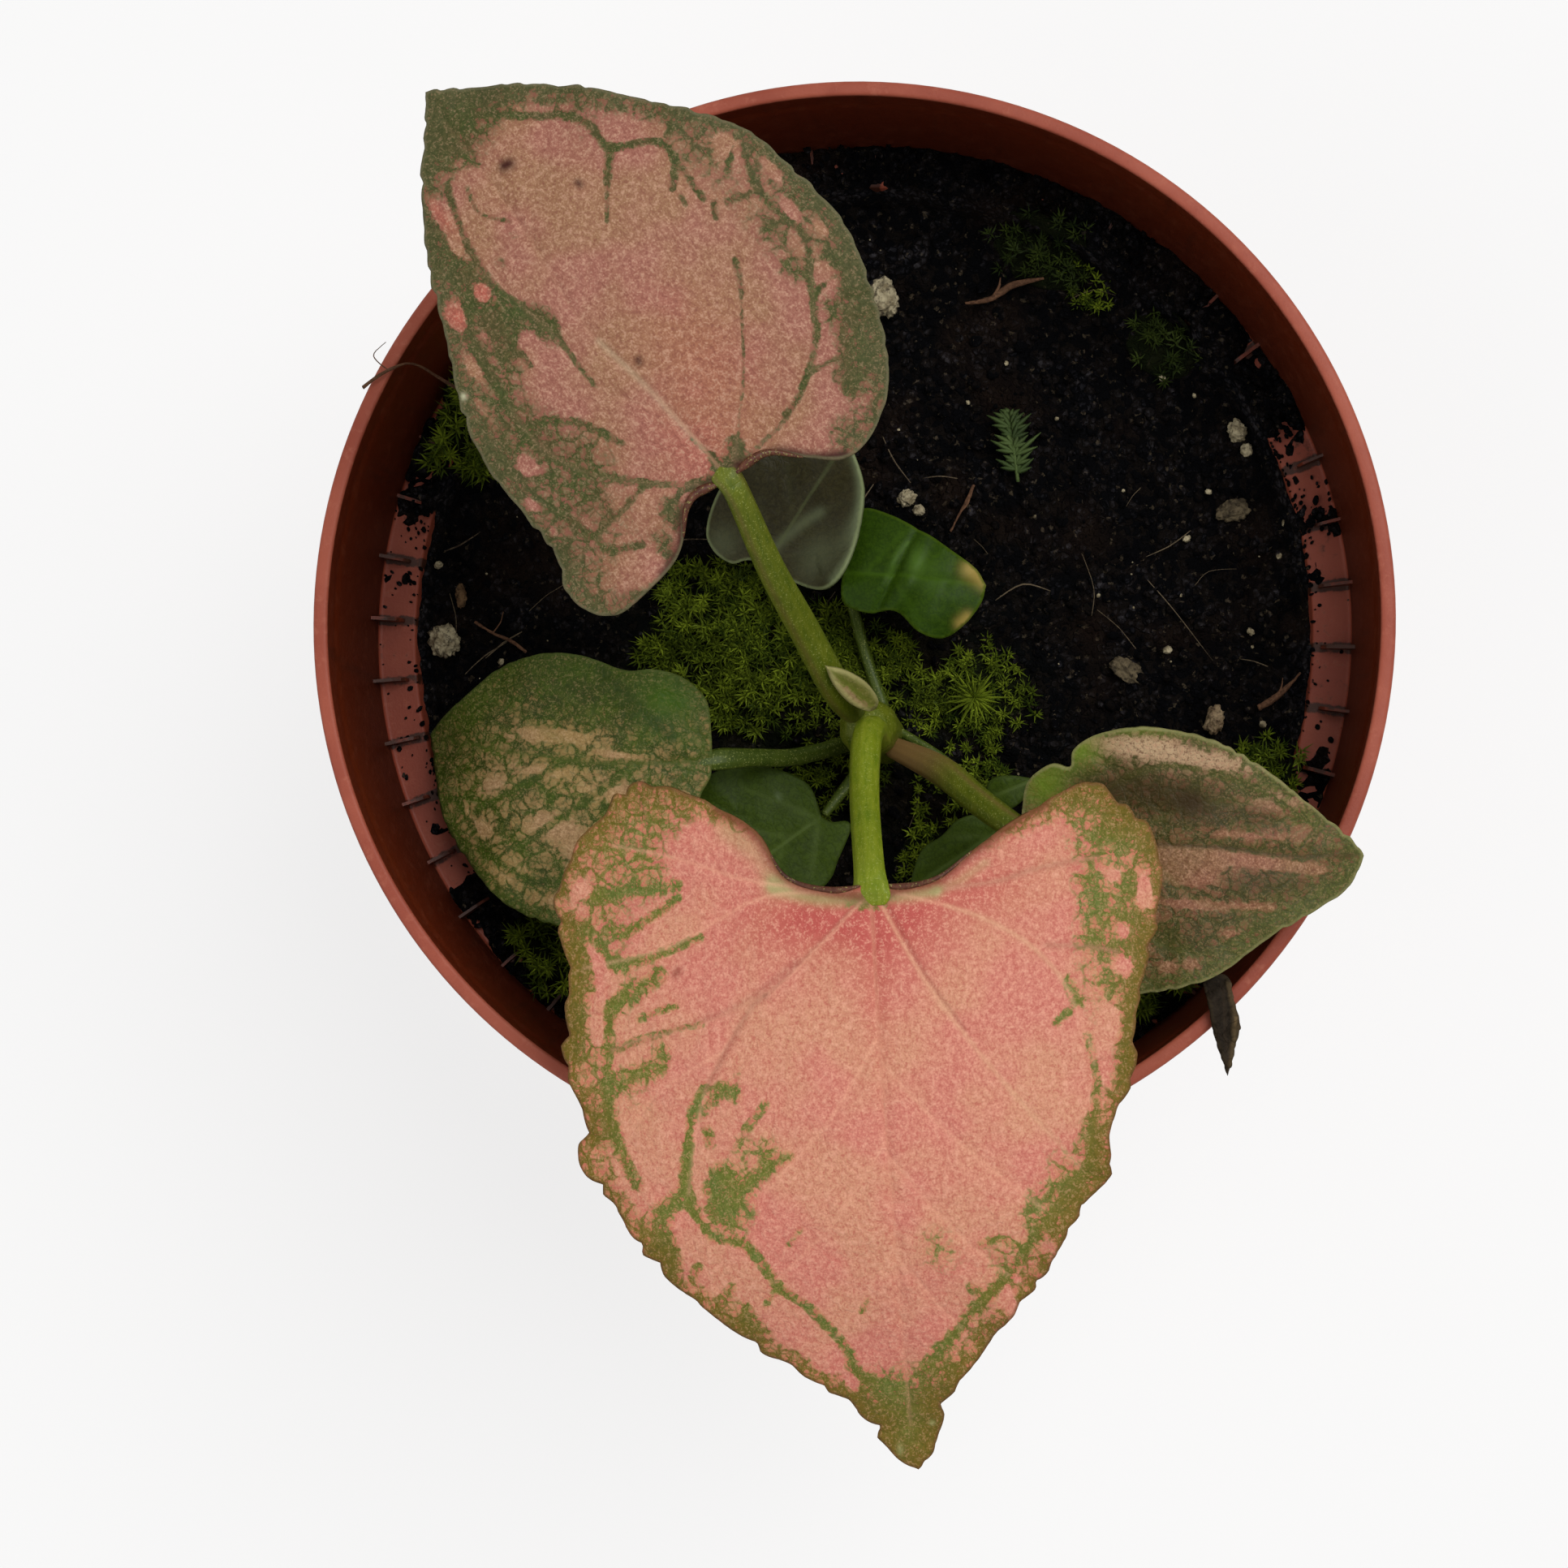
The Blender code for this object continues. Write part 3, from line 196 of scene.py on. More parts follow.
UPPER_LEFT = dict(
    PLAIN, base=(-7.2, 8.8, 96.5), heading=128.3, tip=(37.8, -0.3),
    left=[(0.8, 2.4), (0.3, 4), (-1.6, 6.1), (-2.5, 9), (-2.4, 13), (-0.6, 14.8), (1.6, 15), (4.1, 13.9),
        (8.2, 13.8), (12.5, 13.7), (17, 12.3), (22, 9.8), (28, 7), (32.5, 3.9), (35.4, 1.6)],
    right=[(0.2, -1.6), (-0.2, -3.7), (-2.2, -5.6), (-4.1, -7.8), (-3.9, -10.5), (-2, -13.7), (1.5, -16),
        (6, -17.9), (10.4, -18.9), (15.5, -18.3), (20, -17.3), (25, -13.8), (28.7, -10.9), (31.1, -8.9),
        (33.8, -5.7), (36.2, -2.7)],
    ridge=[(-5, 96.2), (0, 96.5), (12, 99.5), (24, 100.5), (37.5, 98)],
    cup=(-0.006, -0.006), teeth=((0.22, 2.1), (0.2, 2)), wave=(0.35, 8), quilt=0.8, vein_reach=0.17,
    line_width=0.6, gap=0.22, midrib_reach=9,
    veins=[[(0, 0), (6.4, 0.2), (15.7, 1.3), (24.9, 0.3), (35, 0)],
        [(0, -0.4), (1.7, -2), (4.7, -5), (8.5, -7.9), (12.1, -10.2), (17.7, -10.4)],
        [(0.5, -1), (0.9, -5.5), (1.2, -7.6), (2.5, -9.9), (6.2, -13), (9.2, -15.2)],
        [(0.1, 0.7), (3.6, 4.9), (6.3, 7.5), (8.5, 8.8), (11.4, 9.6), (14.5, 9.5)],
        [(6.4, 0.2), (11.5, 3.5), (15, 3.4), (18.4, 3.8), (21.6, 4.4), (24, 4.9)],
        [(9, 0.5), (14, -4), (18.7, -11.1)], [(16, 1.2), (20, -3), (25.2, -8.5)],
        [(23, 0.5), (27, -3), (30, -6.6)], [(3.4, 5.1), (3.1, 8.6), (2.6, 13.9)],
        [(20, 0.8), (26, 4), (29, 6)]],
    green_lines=[(0.42, 1, [(33.4, -2.8), (30.9, -5.1), (29.4, -7.2), (27.2, -8.4), (24.9, -8.5),
            (23.1, -11.4), (21.2, -11.8), (19.5, -10.3)]),
        (0.5, 0.9, [(24.8, -8.6), (23.9, -7.7), (23, -6.9)]), (0.3, 0.6, [(23, -6.9), (20.5, -4.9)]),
        (0.42, 0.9, [(30.4, 2.9), (26.7, 4.2), (22.5, 4.8), (19, 3.9)]),
        (0.3, 0.6, [(29.4, 1.8), (27.2, 2.2), (25.2, 0.8)]), (0.35, 0.6, [(31.7, 0.5), (30.4, 0)]),
        (0.8, 1, [(19.6, 4.7), (18.2, 3.8), (16.8, 3.3)]),
        (0.35, 0.9, [(16.8, 3.3), (13.8, 3.5), (11.6, 3.5)]),
        (0.6, 0.9, [(23, 6.4), (20.6, 8.3), (17.7, 9.1), (16.5, 9.3)]),
        (0.4, 0.7, [(20, 6.4), (18.2, 6.3), (15.6, 6.3)]), (0.35, 0.6, [(33.2, -5), (32.2, -5.7)]),
        (0.35, 0.6, [(31.4, -6.5), (30.2, -8)]), (0.35, 0.8, [(20.4, -11.8), (17.4, -11.6)]),
        (0.35, 0.8, [(23.4, -13.3), (22.6, -12.3)]), (0.35, 0.7, [(16.7, -12), (15.8, -11.5)]),
        (0.35, 0.6, [(18.7, -10.4), (17.9, -10.3)]),
        (0.42, 0.9, [(18.8, -16.4), (15.6, -15.3), (12.8, -15.5), (10.6, -15.9), (8.3, -14.4),
            (4.6, -12), (3.1, -10.2), (1.7, -7.9), (1.3, -6.4)]),
        (0.35, 0.7, [(19.3, -15.8), (17.9, -14.3)]), (0.35, 0.7, [(16.1, -13), (15.4, -15.3)]),
        (0.35, 0.7, [(7, -13.5), (7.2, -15.7)]), (0.35, 0.7, [(2.6, -9.9), (2.1, -13.4)]),
        (0.45, 0.8, [(12.4, -10.6), (10.4, -9.6)]),
        (0.28, 0.5, [(10.1, -9.3), (5.8, -6.1), (2.9, -3.2), (0.5, -1.2)]),
        (0.45, 0.95, [(3.7, 5.1), (7.2, 8.1), (10.9, 9.9), (14.4, 9.6), (19.4, 8.9)]),
        (0.35, 0.7, [(9.5, 12.1), (8.3, 9.8)]),
        (0.4, 0.8, [(12, 12.5), (7.4, 12.1), (3.2, 10.7), (1.8, 10.6), (0.5, 8.3)]),
        (0.35, 0.6, [(3.2, 10.7), (3.3, 8.1), (3.7, 5.1)]),
        (0.4, 0.7, [(12.4, 9), (10.3, 6.2), (7, 4.6)]), (0.4, 0.8, [(0.1, 0.7), (3.7, 5.1)]),
        (0.35, 0.8, [(1.2, 5.5), (1.6, 2.8), (0.3, 0.8)]),
        (0.35, 0.7, [(1.3, -0.2), (2.8, 0), (4.2, 0.3)]),
        (0.35, 0.8, [(0.5, -1), (0.9, -5.5), (1.3, -6.6)]),
        (0.8, 1.2, [(0.4, -0.6), (0.9, -1.4), (1.9, -2.2)]), (0.7, 1.2, [(0.6, 0), (2, 0)]),
        (0.7, 1.2, [(0.4, 0.8), (1.4, 2.4)])],
    rust_lines=[(0.5, 1, [(0.5, -1.2), (-0.2, -2.6), (-0.6, -4.2), (-2.6, -6), (-4, -8)]),
        (0.5, 1, [(0.6, 1.2), (0.7, 3), (0, 4.4), (-1.6, 6.2), (-2.4, 8.4)]),
        (0.5, 1, [(28.8, -1.8), (28.9, -1.5)]), (0.3, 0.8, [(10.9, -0.2), (11.1, -0.3)]),
        (0.3, 0.8, [(24, -5), (24.2, -5)])],
    pale_lines=[(0.26, 0.3, [(3, 0.1), (9, 0.5), (14, 1.2)])],
    green=[(0.8, 0, 0.7, 1.1, 1.3), (20.5, 5.6, 2.6, 0.8, 0.5), (17.6, 3.9, 1.8, 0.8, 0.6),
        (19, 7.4, 3, 1, 0.35), (4.6, -16.9, 3.4, 1, 0.7), (0.8, -13.6, 2.2, 1, 0.6),
        (-2.6, -9.4, 1.6, 1.6, 0.6), (0.6, 4.8, 1.2, 0.8, 1), (-0.8, 7, 1.4, 0.7, 0.7),
        (11.5, -17.8, 4, 1, 0.5), (20.3, 6.2, 1.4, 1, 0.5), (18.4, 5.3, 1, 0.7, 0.5),
        (17.9, 3.3, 1.2, 0.8, 0.6), (20, 7.6, 4, 1.4, 0.4), (26, 6, 4.5, 1.1, 0.55),
        (14.1, 10.6, 3.5, 2.2, 0.4), (11.1, 8.7, 1.6, 1.4, 0.4), (8.5, 6.8, 2.2, 1.6, 0.36),
        (6.7, 9.3, 2.4, 1.6, 0.4), (0.8, -12, 1.1, 1, 0.9), (-0.3, -11.7, 1, 0.8, 0.6),
        (9.4, -13.6, 0.9, 0.7, 0.5), (12.5, -14.4, 1, 0.8, 0.5), (5, -14.4, 1, 0.8, 0.5),
        (34.8, 0, 2.6, 5, 1.2), (6.3, -17.1, 3.4, 1.4, 0.8), (2.5, -14.4, 2.4, 1.4, 0.7),
        (2.5, 13.3, 3, 1.6, 0.4), (23.1, 3.3, 0.9, 0.6, 0.3), (24.2, 1.2, 0.8, 0.6, 0.25),
        (1.7, -1.7, 0.8, 0.7, 0.5), (21, -13.4, 2.4, 1.2, 0.35), (14, -16.6, 3, 0.9, 0.3),
        (5, 10, 6, 4, 0.34), (14, 11, 6, 2.6, 0.3), (24, 6.5, 5, 2, 0.3), (14, -14, 9, 2.6, 0.26),
        (28, -8, 5, 2.2, 0.24), (33, 1, 3, 4, 0.3), (22.1, 8.4, 1, 0.7, -1.9), (22.2, 5.8, 0.7, 0.5, -2),
        (29, 4.6, 1.8, 0.5, -1.1), (26.3, 5.3, 0.9, 0.4, -0.9), (19.8, 7.6, 0.7, 0.4, -0.8),
        (17.2, 5.4, 0.8, 0.5, -0.8), (18.4, 9.8, 1, 0.5, -0.9), (15.2, 5.8, 0.8, 0.6, -0.7),
        (19.7, -15.6, 1, 0.6, -0.8), (16, -17.1, 1.4, 0.5, -0.9), (12.9, -16.3, 0.9, 0.5, -0.9),
        (10.4, -17.3, 1.2, 0.5, -0.9), (7.5, -15.4, 0.8, 0.7, -0.8), (7.9, 12.9, 0.9, 0.5, -0.8),
        (10.2, 11.3, 0.9, 0.7, -0.8), (5.4, 13, 1, 0.5, -0.7), (15.5, 11.3, 1.2, 0.5, -0.7),
        (-1.2, 9.7, 0.9, 1.4, -0.6)],
    band=(0.85, 1.35), base_green=0,
    blush=[(3, 0.5, 4, 3, 0.4), (22.1, 8.4, 1.2, 0.9, 1), (22.2, 5.8, 0.9, 0.7, 1), (8, -4, 6, 4, 0.35),
        (29, 4.6, 1.8, 0.5, 0.6)],
    pale=[(17.2, 11.8, 0.25, 0.25, 1)])

RIGHT = dict(
    PLAIN, base=(14.8, -17.6, 79), heading=-4.2, notch=(-0.3, 0), tip=(27.1, 0),
    left=[(-0.3, 1.6), (0, 4), (1.7, 5.5), (3.3, 5.4), (3.5, 6.8), (5.5, 8.2), (9.5, 8.9), (14, 8.3),
        (18, 6.6), (22, 4), (26, 1.2)],
    right=[(-0.5, -1.6), (-1.5, -4.5), (-0.5, -8.5), (4, -11.5), (8, -12.4), (12, -11.9), (16, -10.4),
        (20, -7), (23.5, -4.6), (26, -2.6)],
    ridge=[(-2, 79), (0, 79), (10, 81), (20, 81), (27, 78.6)],
    cup=(0.02, -0.005), teeth=((0.16, 1.6), (0.14, 2.2)), wave=(0.3, 8),
    veins=[[(0, 0), (10.7, -0.3), (16.4, -0.2), (21.1, -0.5), (26, 0)],
        [(2, 0), (6, 3.5), (11, 6), (17, 5)], [(8, -0.2), (13, 3), (19, 3.6)],
        [(2, -0.3), (6, -4.5), (11, -8), (15, -9)], [(9, -0.3), (14, -4.5), (20, -5.2)],
        [(15, -0.2), (19, 2), (23, 2)]],
    green_lines=[(0.3, 0.8, [(2, 0), (6, 3.5), (11, 6), (17, 5), (23, 2.2)]),
        (0.3, 0.8, [(6, -4.5), (11, -8), (15, -8.6), (20, -5.6), (25, -2.4)])],
    # The two wide brown lines over the left half are painted shade in its fold.
    rust_lines=[(0.28, 0.4, [(6, -0.3), (10.7, -0.3), (16.4, -0.2), (21.1, -0.5), (26, 0)]),
        (1.5, 0.75, [(5, 3.4), (9, 4), (13, 3.2)]), (1.2, 0.35, [(13, 3.2), (19, 2.4)]),
        (1, 0.35, [(17, -3), (22, -2.6)])],
    green=[(13.3, -2, 2.6, 1.5, -1.5), (15.5, -0.9, 4, 0.4, -1.2), (11, -1.2, 1.8, 0.8, -1),
        (19.5, -1.4, 3, 0.5, -0.8), (14, -4.9, 3, 0.4, -1.1), (19, -4.6, 2.2, 0.35, -0.8),
        (17, 0.9, 3.6, 0.35, -0.8), (12.3, -10, 0.8, 0.6, -1.1), (14, -9.6, 0.6, 0.6, -1),
        (9, -6, 3, 0.8, -0.7), (17.5, -7, 2, 0.5, -0.8), (10, -8.6, 1.6, 0.5, -0.7),
        (8.5, 7.5, 4.4, 0.9, -1.05), (14.2, 6.5, 4.5, 0.9, -0.9), (20, 3.6, 3, 0.9, -0.8),
        (22, 1.5, 2.5, 0.8, -0.55), (23, -1.5, 2, 0.8, -0.6), (6, -8, 2, 1, -0.5)],
    band=(0.3, 0.9), base_green=0.84,
    blush=[(8.5, 7.4, 4.2, 1.3, 1), (14.5, 6.6, 4.5, 1.1, 0.8), (20, 4.2, 3, 0.8, 0.4)],
    pale=[(1.4, 3.8, 1.8, 2, 0.95), (3.8, 7, 2, 1.6, 0.95), (7.5, 8.8, 4, 0.6, 0.6)])

LEFT = dict(
    PLAIN, base=(-11.7, -11.4, 70), heading=174.9, tip=(25.6, -0.3),
    left=[(0, 1.5), (0.7, 3.2), (1.2, 7), (4, 12), (8, 14.8), (12.3, 15), (16.5, 13.8), (20, 11),
        (23, 7.5), (24.7, 3.2)],
    right=[(0.2, -2), (0.9, -4.9), (3, -6.7), (5.5, -7.2), (8, -6.9), (11.5, -7.8), (15, -7.8),
        (19, -6.4), (22, -3.9), (24.5, -1.7)],
    ridge=[(-2, 69.5), (0, 70), (8, 71.2), (15, 70.5), (20, 68), (25.6, 63.5)],
    cup=(-0.008, -0.008), teeth=((0.16, 1.8), (0.08, 2)), wave=(0.35, 9),
    veins=[[(0, 0), (3.8, 0.6), (8.1, 1), (11.6, 1.1), (18.4, 0.6), (24.9, -0.2)],
        [(0.5, -0.3), (3.5, -3.8), (8, -4.6)], [(4, 0.6), (9, -2.4), (14.5, -5.2)],
        [(10, 1), (15, -1.6), (19.5, -3.6)], [(1.5, 0.6), (5.5, 6), (9.5, 10.5)],
        [(6, 0.9), (11, 5), (16, 9)], [(12, 1.1), (17, 4.2), (20.5, 6.2)]],
    green_lines=[(0.35, 0.7, [(1.5, 0.6), (5.5, 6), (9.5, 10.5)]),
        (0.35, 0.7, [(6, 0.9), (11, 5), (16, 9)]), (0.35, 0.7, [(12, 1.1), (17, 4.2), (20.5, 6.2)]),
        (0.4, 0.8, [(9.5, 10.5), (14, 11.6), (18.5, 9.6), (22, 5.5)])],
    green=[(12, -6, 7, 3, 0.6), (5.5, -5, 4, 3, 0.6), (21, -2.5, 3, 2.5, 0.4),
        (13.5, -0.9, 4.5, 0.8, -0.85), (8, 0.3, 2.6, 0.4, -0.7), (14, 2.2, 3, 0.6, -0.7),
        (8, 3.4, 3.6, 0.9, -0.7), (18.5, 3.6, 2, 1.2, -0.55), (13, 6.8, 3, 1.4, -0.7),
        (19.5, 7.6, 1.6, 1.2, -0.7), (10, 9, 2.6, 1.4, -0.6), (16.5, 11, 2, 1.2, -0.65),
        (12, 13, 2.4, 0.8, -0.65), (5, 8.5, 2, 1.5, -0.6), (21.2, 6.3, 0.9, 0.7, -0.8),
        (6.5, 11.5, 1.6, 1, -0.6)],
    # The dark line along the lobe's fold is painted shade; the pale spots are the lobe's brighter green with
    # a painted highlight.
    band=(0.4, 1), base_green=0.72, rust_lines=[(0.5, 0.5, [(10, -6.8), (6.8, -4.2), (3.4, -1.4)])],
    pale=[(4.2, -4.6, 2.4, 2, 0.75), (3, -1.4, 2.4, 0.6, 0.4), (11, -6.6, 3, 0.7, 0.2)])

DARK = dict(
    PLAIN, base=(-7.4, 6.1, 64), heading=56.2, notch=(-0.3, 0), tip=(12.5, 0),
    left=[(-1, 1.6), (-2, 2.6), (-2, 4.4), (-0.7, 6), (3, 6.8), (7, 5.5), (10, 3)],
    right=[(-0.6, -1.2), (0, -4.8), (1.2, -6.1), (3.5, -6.2), (6.8, -5.2), (9.9, -3.4)],
    ridge=[(-2, 64), (4, 65), (12.5, 66.5)],
    cup=(0.02, 0.06), wave=(0.3, 7), gap=0.25,
    veins=[[(0, 0), (12, 0)], [(0.5, 0.2), (4, 3.6)], [(0.5, -0.2), (3.5, -4.2)], [(4, 0), (7.5, 3)],
        [(4, 0), (7.5, -3)]],
    pale_lines=[(0.55, 1, [(1.6, -6.2), (4.5, -6.2), (7.5, -5), (10.2, -3.2), (12.4, -0.6)]),
        # The second pale line is a painted highlight along the midrib.
        (0.5, 0.4, [(1.4, 0.1), (4.2, -0.8), (5.8, -1.6)])],
    pale=[(8, -5, 3.4, 0.8, 0.6), (2.5, -3.6, 2.2, 1.6, 0.3), (-1, 4.2, 1.6, 1.4, 0.28)])

CURLED = dict(
    PLAIN, base=(-0.9, 4.9, 65), heading=-5.9, tip=(12.3, 0),
    left=[(0, 3), (1, 5.6), (3.7, 5.2), (6.4, 4), (9, 2.7), (11.3, 1.3)],
    right=[(0.3, -2.5), (2.5, -3.3), (5, -3), (7, -4.5), (9, -4.8), (10.8, -3.5), (12, -1.6)],
    ridge=[(-1, 65), (6, 67), (12.3, 65.5)],
    cup=(-0.05, -0.05), wave=(0.15, 5),
    veins=[[(0.5, 0), (11.5, 0)], [(2, 0), (5, 3.8)], [(4.5, 0), (7, -3.6)], [(6, 0), (8.5, 2.6)]],
    rust_lines=[(0.8, 1, [(10.9, 1.2), (12.2, 0.4)]), (0.55, 0.9, [(10.5, -3.4), (11, -2.9)])],
    # The pale line along the crease and the pale spots beyond it are painted highlights.
    pale_lines=[(0.22, 0.5, [(5.3, 2.9), (4.5, 1.7), (4.1, -0.2)])],
    pale=[(6.3, 1.3, 0.7, 1.2, 0.6), (7.8, 0.2, 1.4, 1.4, 0.3)])

LOW_LEFT = dict(
    PLAIN, base=(-3, -16.1, 62.5), heading=-144.5, tip=(12, 0),
    left=[(-0.5, 0.9), (-1.6, 1.6), (-1.4, 2.4), (0.8, 3.8), (3, 5), (7, 5), (10.5, 2.5)],
    right=[(-0.7, -2.2), (-0.5, -3.6), (0.7, -5.6), (2.5, -7.3), (5.2, -8.5), (8, -7.8), (10.5, -4.5)],
    ridge=[(-2, 62.6), (5, 63.4), (12, 64)],
    wave=(0.2, 6),
    veins=[[(0, 0), (12, 0)], [(0.5, -0.5), (4, -6)], [(0.5, 0.3), (3.5, 3.6)], [(3, 0), (7, -4)],
        [(4, 0), (7.5, 3)]],
    pale=[(2, -3.6, 0.25, 0.4, 1)])

LOW_RIGHT = dict(
    PLAIN, base=(12.5, -17.2, 62.8), heading=-146.8, tip=(9.4, 0),
    left=[(0.5, 1.5), (3, 3), (6, 2.8)],
    right=[(0.8, -2), (2.6, -2.7), (4.5, -2.3), (6.4, -2.3), (8, -1.3)],
    ridge=[(-1, 62.8), (4, 63.2), (9.4, 63.2)],
    cup=(0.03, 0.03), wave=(0.1, 5),
    veins=[[(0, 0), (9, 0)], [(1, 0), (4, -2)], [(1, 0), (4, 2.4)]])

TINY = dict(
    PLAIN, base=(11.3, -14.6, 64), heading=21.9, tip=(4.6, 0),
    left=[(0.8, 1.3), (2.4, 1.2)],
    right=[(0.8, -1.4), (2.6, -1.4)],
    ridge=[(0, 64), (2, 64.4), (4.6, 64)],
    wave=(0, 5), veins=[[(0, 0), (4.2, 0)]])

# The open sheath at the crown and the withered scrap over the rim are small blades too.
SHEATH = dict(
    PLAIN, base=(2.4, -7.2, 73.8), heading=140.4, tip=(4.6, 0),
    left=[(0.3, 0.7), (1.6, 1.05), (3.2, 0.75)],
    right=[(0.3, -0.7), (1.6, -1.05), (3.2, -0.75)],
    ridge=[(0, 73.8), (2.3, 77.4), (4.6, 80.9)],
    cup=(0.35, 0.35), wave=(0, 5), veins=[[(0, 0), (4.2, 0)]],
    pale_lines=[(0.3, 1, [(0.4, 0.75), (1.6, 1), (3.2, 0.72), (4.5, 0.05)]),
        (0.3, 1, [(0.4, -0.75), (1.6, -1), (3.2, -0.72), (4.5, -0.05)])],
    green=[(2.3, 0.9, 3, 0.7, -1.6)])

SCRAP = dict(
    PLAIN, base=(30.4, -29.1, 75.9), heading=-84.7, tip=(8.3, 0),
    left=[(0.5, 0.8), (2, 1), (4.2, 1.3), (6, 0.8)],
    right=[(0.5, -1.2), (2.7, -1), (5, -0.8)],
    ridge=[(0, 75.9), (4, 75.9), (8.3, 75.8)],
    teeth=((0.2, 1.1), (0.2, 0.9)), wave=(0.3, 2.6),
    veins=[[(0, 0.3), (8, 0)], [(1, -0.6), (6, -0.5)]],
    pale_lines=[(0.22, 0.8, [(1, 0.9), (4.2, 1.1), (7.4, 0.3)])])


# ---- small tools ----
def clamp(value):
    return min(1.0, max(0.0, value))


def polar(reach, angle):
    return reach * cos(angle), reach * sin(angle)


def placed(centre, angle, ahead, left):
    """The point that lies ahead and to the left of a centre when it faces an angle."""
    return (centre[0] + ahead * cos(angle) - left * sin(angle),
            centre[1] + ahead * sin(angle) + left * cos(angle))


def unit(way):
    return way / np.linalg.norm(way)


def up(height):
    return np.array([0.0, 0.0, height])


def travel(curve):
    """The distance along a curve at each of its points."""
    return np.concatenate([[0.0], np.cumsum(np.linalg.norm(np.diff(curve, axis=0), axis=1))])


def spline(points, steps):
    """Catmull-Rom curve through the points, with steps samples a span."""
    knots = np.array([points[0], *points, points[-1]], dtype=float)
    rows = []
    for index in range(1, len(knots) - 2):
        before, start, end, after = knots[index - 1:index + 3]
        for u in np.arange(steps) / steps:
            rows.append(0.5 * (2 * start + (end - before) * u
                               + (2 * before - 5 * start + 4 * end - after) * u ** 2
                               + (3 * start - before - 3 * end + after) * u ** 3))
    return np.array([*rows, knots[-2]])


def resample(curve, count):
    """The curve as count points at equal distances."""
    lengths = travel(curve)
    wanted = np.linspace(0.0, lengths[-1], count)
    return np.stack([np.interp(wanted, lengths, values) for values in curve.T], axis=1)


def line_gap(points, plan, far=8.0):
    """Distance from each plan point to a smooth line, or far where the line is further off than that."""
    curve = spline(points, 5)
    near = np.all((plan > curve.min(axis=0) - far) & (plan < curve.max(axis=0) + far), axis=1)
    spots = plan[near]
    best = np.full(len(spots), far)
    for start, end in zip(curve[:-1], curve[1:]):
        way = end - start
        share = np.clip(((spots - start) @ way) / max(way @ way, 1e-9), 0.0, 1.0)
        best = np.minimum(best, np.linalg.norm(spots - start - share[:, None] * way, axis=1))
    gap = np.full(len(plan), far)
    gap[near] = best
    return gap


def line_marks(lines, plan):
    """Sum of soft lines (reach, strength, points) at each plan point."""
    total = np.zeros(len(plan))
    for reach, strength, points in lines:
        total += strength * np.exp(-(line_gap(points, plan, 4.0 * reach) / reach) ** 2)
    return total


def soft_spots(spots, plan):
    """Sum of soft oval spots (s, t, reach in s, reach in t, strength) at each plan point."""
    total = np.zeros(len(plan))
    for s, t, reach_s, reach_t, strength in spots:
        total += strength * np.exp(-((plan[:, 0] - s) / reach_s) ** 2 - ((plan[:, 1] - t) / reach_t) ** 2)
    return total


def wobble(plan, size, seed):
    """Smooth noise between -1 and 1 at each plan point, with features of about size."""
    return np.array([noise.fractal(Vector((s / size, t / size, seed)), 1.0, 2.0, 3) for s, t in plan])


def linear(display):
    """A display colour as the values that the shader works with."""
    return [value / 255 / 12.92 if value < 10.4 else ((value / 255 + 0.055) / 1.055) ** 2.4
            for value in display]


class Nodes:
    """The node tree of a material or world, with a short call for each kind of node used below."""

    def __init__(self, owner):
        owner.use_nodes = True
        self.tree = owner.node_tree

    def feed(self, socket, value):
        if isinstance(value, bpy.types.NodeSocket):
            self.tree.links.new(value, socket)
        elif socket.type == "RGBA":
            socket.default_value = (*linear(value), 1.0)
        else:
            socket.default_value = value

    def node(self, kind, inputs, output, **settings):
        made = self.tree.nodes.new("ShaderNode" + kind)
        for key, value in settings.items():
            setattr(made, key, value)
        for key, value in inputs.items():
            self.feed(made.inputs[key], value)
        return made.outputs[output]

    def ray(self, kind):
        return self.node("LightPath", {}, f"Is {kind} Ray")

    def math(self, operation, first, second=0.0):
        return self.node("Math", {0: first, 1: second}, 0, operation=operation)

    def vector(self, operation, first, second):
        return self.node("VectorMath", {0: first, 1: second}, 0, operation=operation)

    def times(self, first, second):
        return self.math("MULTIPLY", first, second)

    def sum(self, *terms):
        total = terms[0]
        for term in terms[1:]:
            total = self.math("ADD", total, term)
        return total

    def swing(self, value, amount):
        """A noise value as a push of amount up or down."""
        return self.times(self.math("SUBTRACT", value, 0.5), amount)

    def rise(self, value, low, high, bottom=0.0, top=1.0):
        """Bottom below low, top above high and smooth between them."""
        return self.node("MapRange", {"Value": value, "From Min": low, "From Max": high, "To Min": bottom,
                                      "To Max": top}, 0, interpolation_type="SMOOTHSTEP")

    def fall(self, value, low, high):
        """1 below low, 0 above high and smooth between them."""
        return self.rise(value, low, high, 1.0, 0.0)

    def patches(self, value, low, high, strength):
        return self.times(self.rise(value, low, high), strength)


